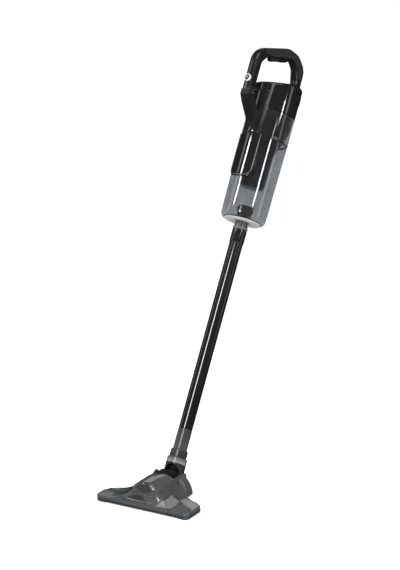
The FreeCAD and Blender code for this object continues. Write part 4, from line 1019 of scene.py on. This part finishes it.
# ------------------------------------------------------------------ fork arms and cheeks
for sg, nm in ((1, "right"), (-1, "left")):
    x0, x1 = (26.3, 31.2) if sg > 0 else (-31.2, -26.3)
    full = round2([(-50.8, 9.2), (-50.8, 49.5), (-108, 50.4), (-117.2, 45), (-117.2, 26), (-102, 9.2)][::-1], [8, 12, 7, 9, 2, 1.5], 6)
    v, f = prism_x(full, x0, x1)
    piece("fork_plate_" + nm, v, f, ROW, "floor_head", "grey_plastic", mat="neck_grey", replaces=["fork_arms"], bevel=0.9, segs=3, limit=50)
    bar = round2([(-48.5, 50.2), (-97, 50.5), (-108.5, 49.6), (-115.6, 43.5), (-115.6, 33), (-108, 25.5), (-90, 26.5), (-76, 28.6), (-60, 33.2), (-48.5, 36.2)],
                 [2, 10, 8, 8, 6, 8, 10, 12, 12, 3], 6)
    xb = (30.6, 33.4) if sg > 0 else (-33.4, -30.6)
    v, f = prism_x(bar, *xb)
    piece("fork_bar_" + nm, v, f, ROW, "floor_head", "grey_plastic", replaces=["fork_arms"], bevel=1.1, segs=4, limit=50)
    rib = round2([(-52, 43.4), (-94, 44.6), (-94, 42.8), (-52, 41.6)], 0.6, 3)
    xr = (33.2, 34.2) if sg > 0 else (-34.2, -33.2)
    piece("fork_rib_" + nm, *prism_x(rib, *xr), ROW, "floor_head", "grey_plastic", bevel=0.35, segs=2, limit=50)
    # slanted cheek sweeping from the arm down over the wheel
    outer = np.array([(60.2, 3.0), (58.2, 12), (54.9, 20.5), (50.8, 28.2), (45.4, 34.8), (40.7, 40.6), (36.8, 45.2), (33.6, 46.6), (31.4, 46.8)])
    inner = np.array([(54.6, 3.0), (54.0, 9), (52.6, 15.5), (51.0, 21.5), (49.3, 27.2), (44.4, 31.6), (39.6, 36.4), (34.6, 40.6), (31.4, 42.0)])
    yf = np.array([77.0, 77.2, 77.4, 77.8, 78.6, 79.6, 81.0, 83.0, 85.0])
    yb = np.array([101, 102, 103, 103.5, 104, 104, 104, 104, 104])
    rings = []
    for o_, i_, a_, b_ in zip(outer, inner, yf, yb):
        c2 = round2([(0, a_), (1, a_), (1, b_), (0, b_)], 0.0)
        q = []
        for (p_, y0_, s1, s2) in ((i_, a_, 0, 0.9), (o_, a_, 1, 0.9), (o_, b_, 1, -0.9), (i_, b_, 0, -0.9)):
            q.append((sg * p_[0], y0_, p_[1]))
        rings.append(q)
    v, f = sweep(rings)
    piece("wheel_cheek_" + nm, v, f, ROW, "floor_head", "grey_plastic", replaces=["wheel_cheeks"], bevel=1.3, segs=4, limit=50)
    fp = round2([(sg * 33.2, 43.5), (sg * 37.0, 44.6), (sg * 46.6, 35.0), (sg * 54.6, 20.0), (sg * 57.8, 3.2), (sg * 45.5, 3.2), (sg * 40.5, 13), (sg * 33.2, 21)],
                [1, 2, 3, 6, 1, 1, 4, 4], 4)
    v, f = prism_z(fp, 0, 3.6)
    v = np.c_[v[:, 0], 80.2 - v[:, 2], v[:, 1]]
    # the right cheek front takes the lighter copy: painted light
    piece("cheek_front_" + nm, v, f, ROW, "floor_head", "grey_plastic", mat="painted_lit_grey" if sg > 0 else "grey_plastic", bevel=0.9, segs=3, limit=50)
    # wheel: tyre with fine tread, dished hub
    tyre = [(9.8, -3.6), (13.4, -3.6), (14.5, -3.2), (15.0, -2.2), (15.0, 2.2), (14.5, 3.2), (13.4, 3.6), (9.8, 3.6)]
    v, f = lathe(tyre, 96)
    a_ = np.arctan2(v[:, 1], v[:, 0])
    r_ = np.hypot(v[:, 0], v[:, 1])
    kk = np.where(r_ > 14.8, 1 - 0.022 * (0.5 + 0.5 * np.sign(np.cos(a_ * 32))), 1.0)
    v[:, 0] *= kk
    v[:, 1] *= kk
    hub = [(3.15, -3.4), (9.9, -3.4), (9.9, 3.4), (8.9, 3.7), (7.8, 3.4), (6.6, 2.4), (4.8, 2.4), (4.4, 3.2), (3.15, 3.2)]
    piece("wheel_tyre_" + nm, *turned((v, f), (sg, 0, 0), (sg * 45, 96, 15)), ROW, "wheel_" + nm, "black_rubber",
          replaces=["wheel_" + nm], sharp=35)
    piece("wheel_hub_" + nm, *turned(lathe(hub, 64), (sg, 0, 0), (sg * 45, 96, 15)), ROW, "wheel_" + nm, "black_rubber",
          mat="neck_grey", sharp=35)

# pedal: dark wedge with grip lines
sec = round2([(-21.2, 55), (-21.2, 60.0), (-15.2, 72.6), (-10.6, 72.6), (-4.0, 60.6), (-4.0, 55)], [1.2, 2.5, 2.2, 2.2, 2.5, 1.2], 5)
rings = []
for y_, k_ in ((34.8, 0.30), (35.2, 0.42), (37.0, 0.62), (39.5, 0.82), (42.5, 0.96), (45.0, 1.0), (48.5, 1.0), (51.0, 0.94), (54.0, 0.74), (56.0, 0.5), (56.6, 0.36)):
    rings.append([(-12.6 + (x + 12.6) * (0.9 + 0.1 * k_), y_, 55 + (z - 55) * k_) for x, z in sec])
piece("brush_pedal_wedge", *sweep(rings), ROW, "brush_pedal", "matte_black", replaces=["brush_pedal"], sharp=40)
gl = []
for k_ in range(4):
    t = 0.25 + 0.17 * k_
    y_ = 41.0 + 3.0 * k_
    gl.append(boxm(-15.2, -10.0, y_ - 0.4, y_ + 0.4, 71.0 - 0.5 * abs(k_ - 1.6), 72.7 - 0.5 * abs(k_ - 1.6)))
piece("brush_pedal_ribs", *join(*gl), ROW, "brush_pedal", "matte_black", bevel=0.3, segs=2)

# ------------------------------------------------------------------ studio
def area(name, loc, target, sx, sy, power, color=(1, 1, 1), up=None, glossy=True, diffuse=True):
    d = bpy.data.lights.new(name, "AREA")
    d.shape = "RECTANGLE"
    d.size, d.size_y = sx, sy
    d.energy = power
    d.color = color
    o = bpy.data.objects.new(name, d)
    bpy.context.scene.collection.objects.link(o)
    loc, target = Vector(loc), Vector(target)
    z = (loc - target).normalized()
    y = Vector(up).normalized() if up is not None else Vector((0, 0, 1))
    x = y.cross(z).normalized()
    y = z.cross(x)
    o.matrix_world = Matrix.Translation(loc) @ Matrix((x, y, z)).transposed().to_4x4()
    o.visible_glossy = glossy
    o.visible_diffuse = diffuse
    return o


AXIS = Vector(RU[:, 2])
VIEW_AZ = -46.7      # where the front three-quarter viewpoint stands round the stick axis, unit frame


def strip(name, phi, s0, s1, dist, width, radiance):
    """A long soft strip parallel to the stick, mirrored towards the viewpoint from the surface line at angle phi."""
    az = math.radians(VIEW_AZ + 2 * phi)
    rad = Vector(RU @ np.array([math.cos(az), math.sin(az), 0.0]))
    e0, e1 = [s / 1000.0 + dist * (0.183 + (s / 1000.0 - 0.67) / 6.0) for s in (s0, s1)]
    base = Vector(PIV * 0.001) + AXIS * ((e0 + e1) / 2)
    length = e1 - e0
    return area(name, base + rad * dist, base, width, length, radiance * math.pi * width * length, up=AXIS)


strip("strip_bin_left", -33.4, 690, 915, 2.2, 0.22, 32)
strip("strip_bin_right", 14.5, 690, 885, 2.2, 0.2, 32)
strip("strip_unit_right", 23.0, 978, 1030, 2.4, 0.16, 34)
strip("strip_unit_low", 15.5, 930, 975, 2.5, 0.06, 34)
strip("strip_tube", -13.0, 60, 640, 2.6, 0.5, 18)
# broad, dim boxes: an edge light on each side and one overhead
area("box_left", (-3.2, -0.6, 1.5), (0, 0.3, 0.6), 0.5, 2.6, 6)
area("box_right", (2.9, 1.3, 1.4), (0, 0.3, 0.6), 0.45, 2.4, 5)
area("box_top", (0.3, -0.3, 3.4), (0, 0.3, 0.3), 2.2, 2.2, 30)
area("box_front", (1.2, -3.4, 2.2), (0, 0.3, 0.6), 1.6, 1.2, 9, glossy=False)
area("box_back", (-2.1, 3.4, 1.75), (0, 0.05, 0.03), 2.6, 0.9, 4.5)

w = bpy.data.worlds.new("studio")
bpy.context.scene.world = w
w.use_nodes = True
w.node_tree.nodes["Background"].inputs[0].default_value = (1, 1, 1, 1)
w.node_tree.nodes["Background"].inputs[1].default_value = 1.0
w.cycles_visibility.glossy = False

me = bpy.data.meshes.new("floor")
R = 40.0
me.from_pydata([(-R, -R, 0), (R, -R, 0), (R, R, 0), (-R, R, 0)], [], [(0, 1, 2, 3)])
floor = bpy.data.objects.new("floor", me)
bpy.context.scene.collection.objects.link(floor)
fm, ft, fb = nodes_of("floor_white")
ftc = ft.nodes.new("ShaderNodeTexCoord").outputs["Object"]
ft.links.new(ramp(ft, noise(ft, ftc, 3, 3), (0.93, 0.93, 0.93), (0.95, 0.95, 0.95)), fb.inputs["Base Color"])
fb.inputs["Roughness"].default_value = 0.8
fb.inputs["Specular IOR Level"].default_value = 0.1
fb.inputs["Emission Color"].default_value = (1, 1, 1, 1)
fb.inputs["Emission Strength"].default_value = 0.12
me.materials.append(fm)
floor.visible_glossy = False

# ------------------------------------------------------------------ camera
cd = bpy.data.cameras.new("camera")
cam = bpy.data.objects.new("camera", cd)
bpy.context.scene.collection.objects.link(cam)
D, ca, ce = 6.0, math.radians(31.04), math.radians(22.58)
az, el = math.radians(31.04 - 1.24), math.radians(22.58 - 5.14)
cam.location = D * Vector((math.sin(ca) * math.cos(ce), -math.cos(ca) * math.cos(ce), math.sin(ce)))
fw = -Vector((math.sin(az) * math.cos(el), -math.cos(az) * math.cos(el), math.sin(el)))
rt = Vector((math.cos(az), math.sin(az), 0))
up = rt.cross(fw)
cam.matrix_world = Matrix.Translation(cam.location) @ Matrix((rt, up, -fw)).transposed().to_4x4()
cd.sensor_width = 36
cd.lens = 36 * 2431 / 570
cd.clip_start, cd.clip_end = 0.1, 100
bpy.context.scene.camera = cam
bpy.context.scene.view_settings.view_transform = "Standard"
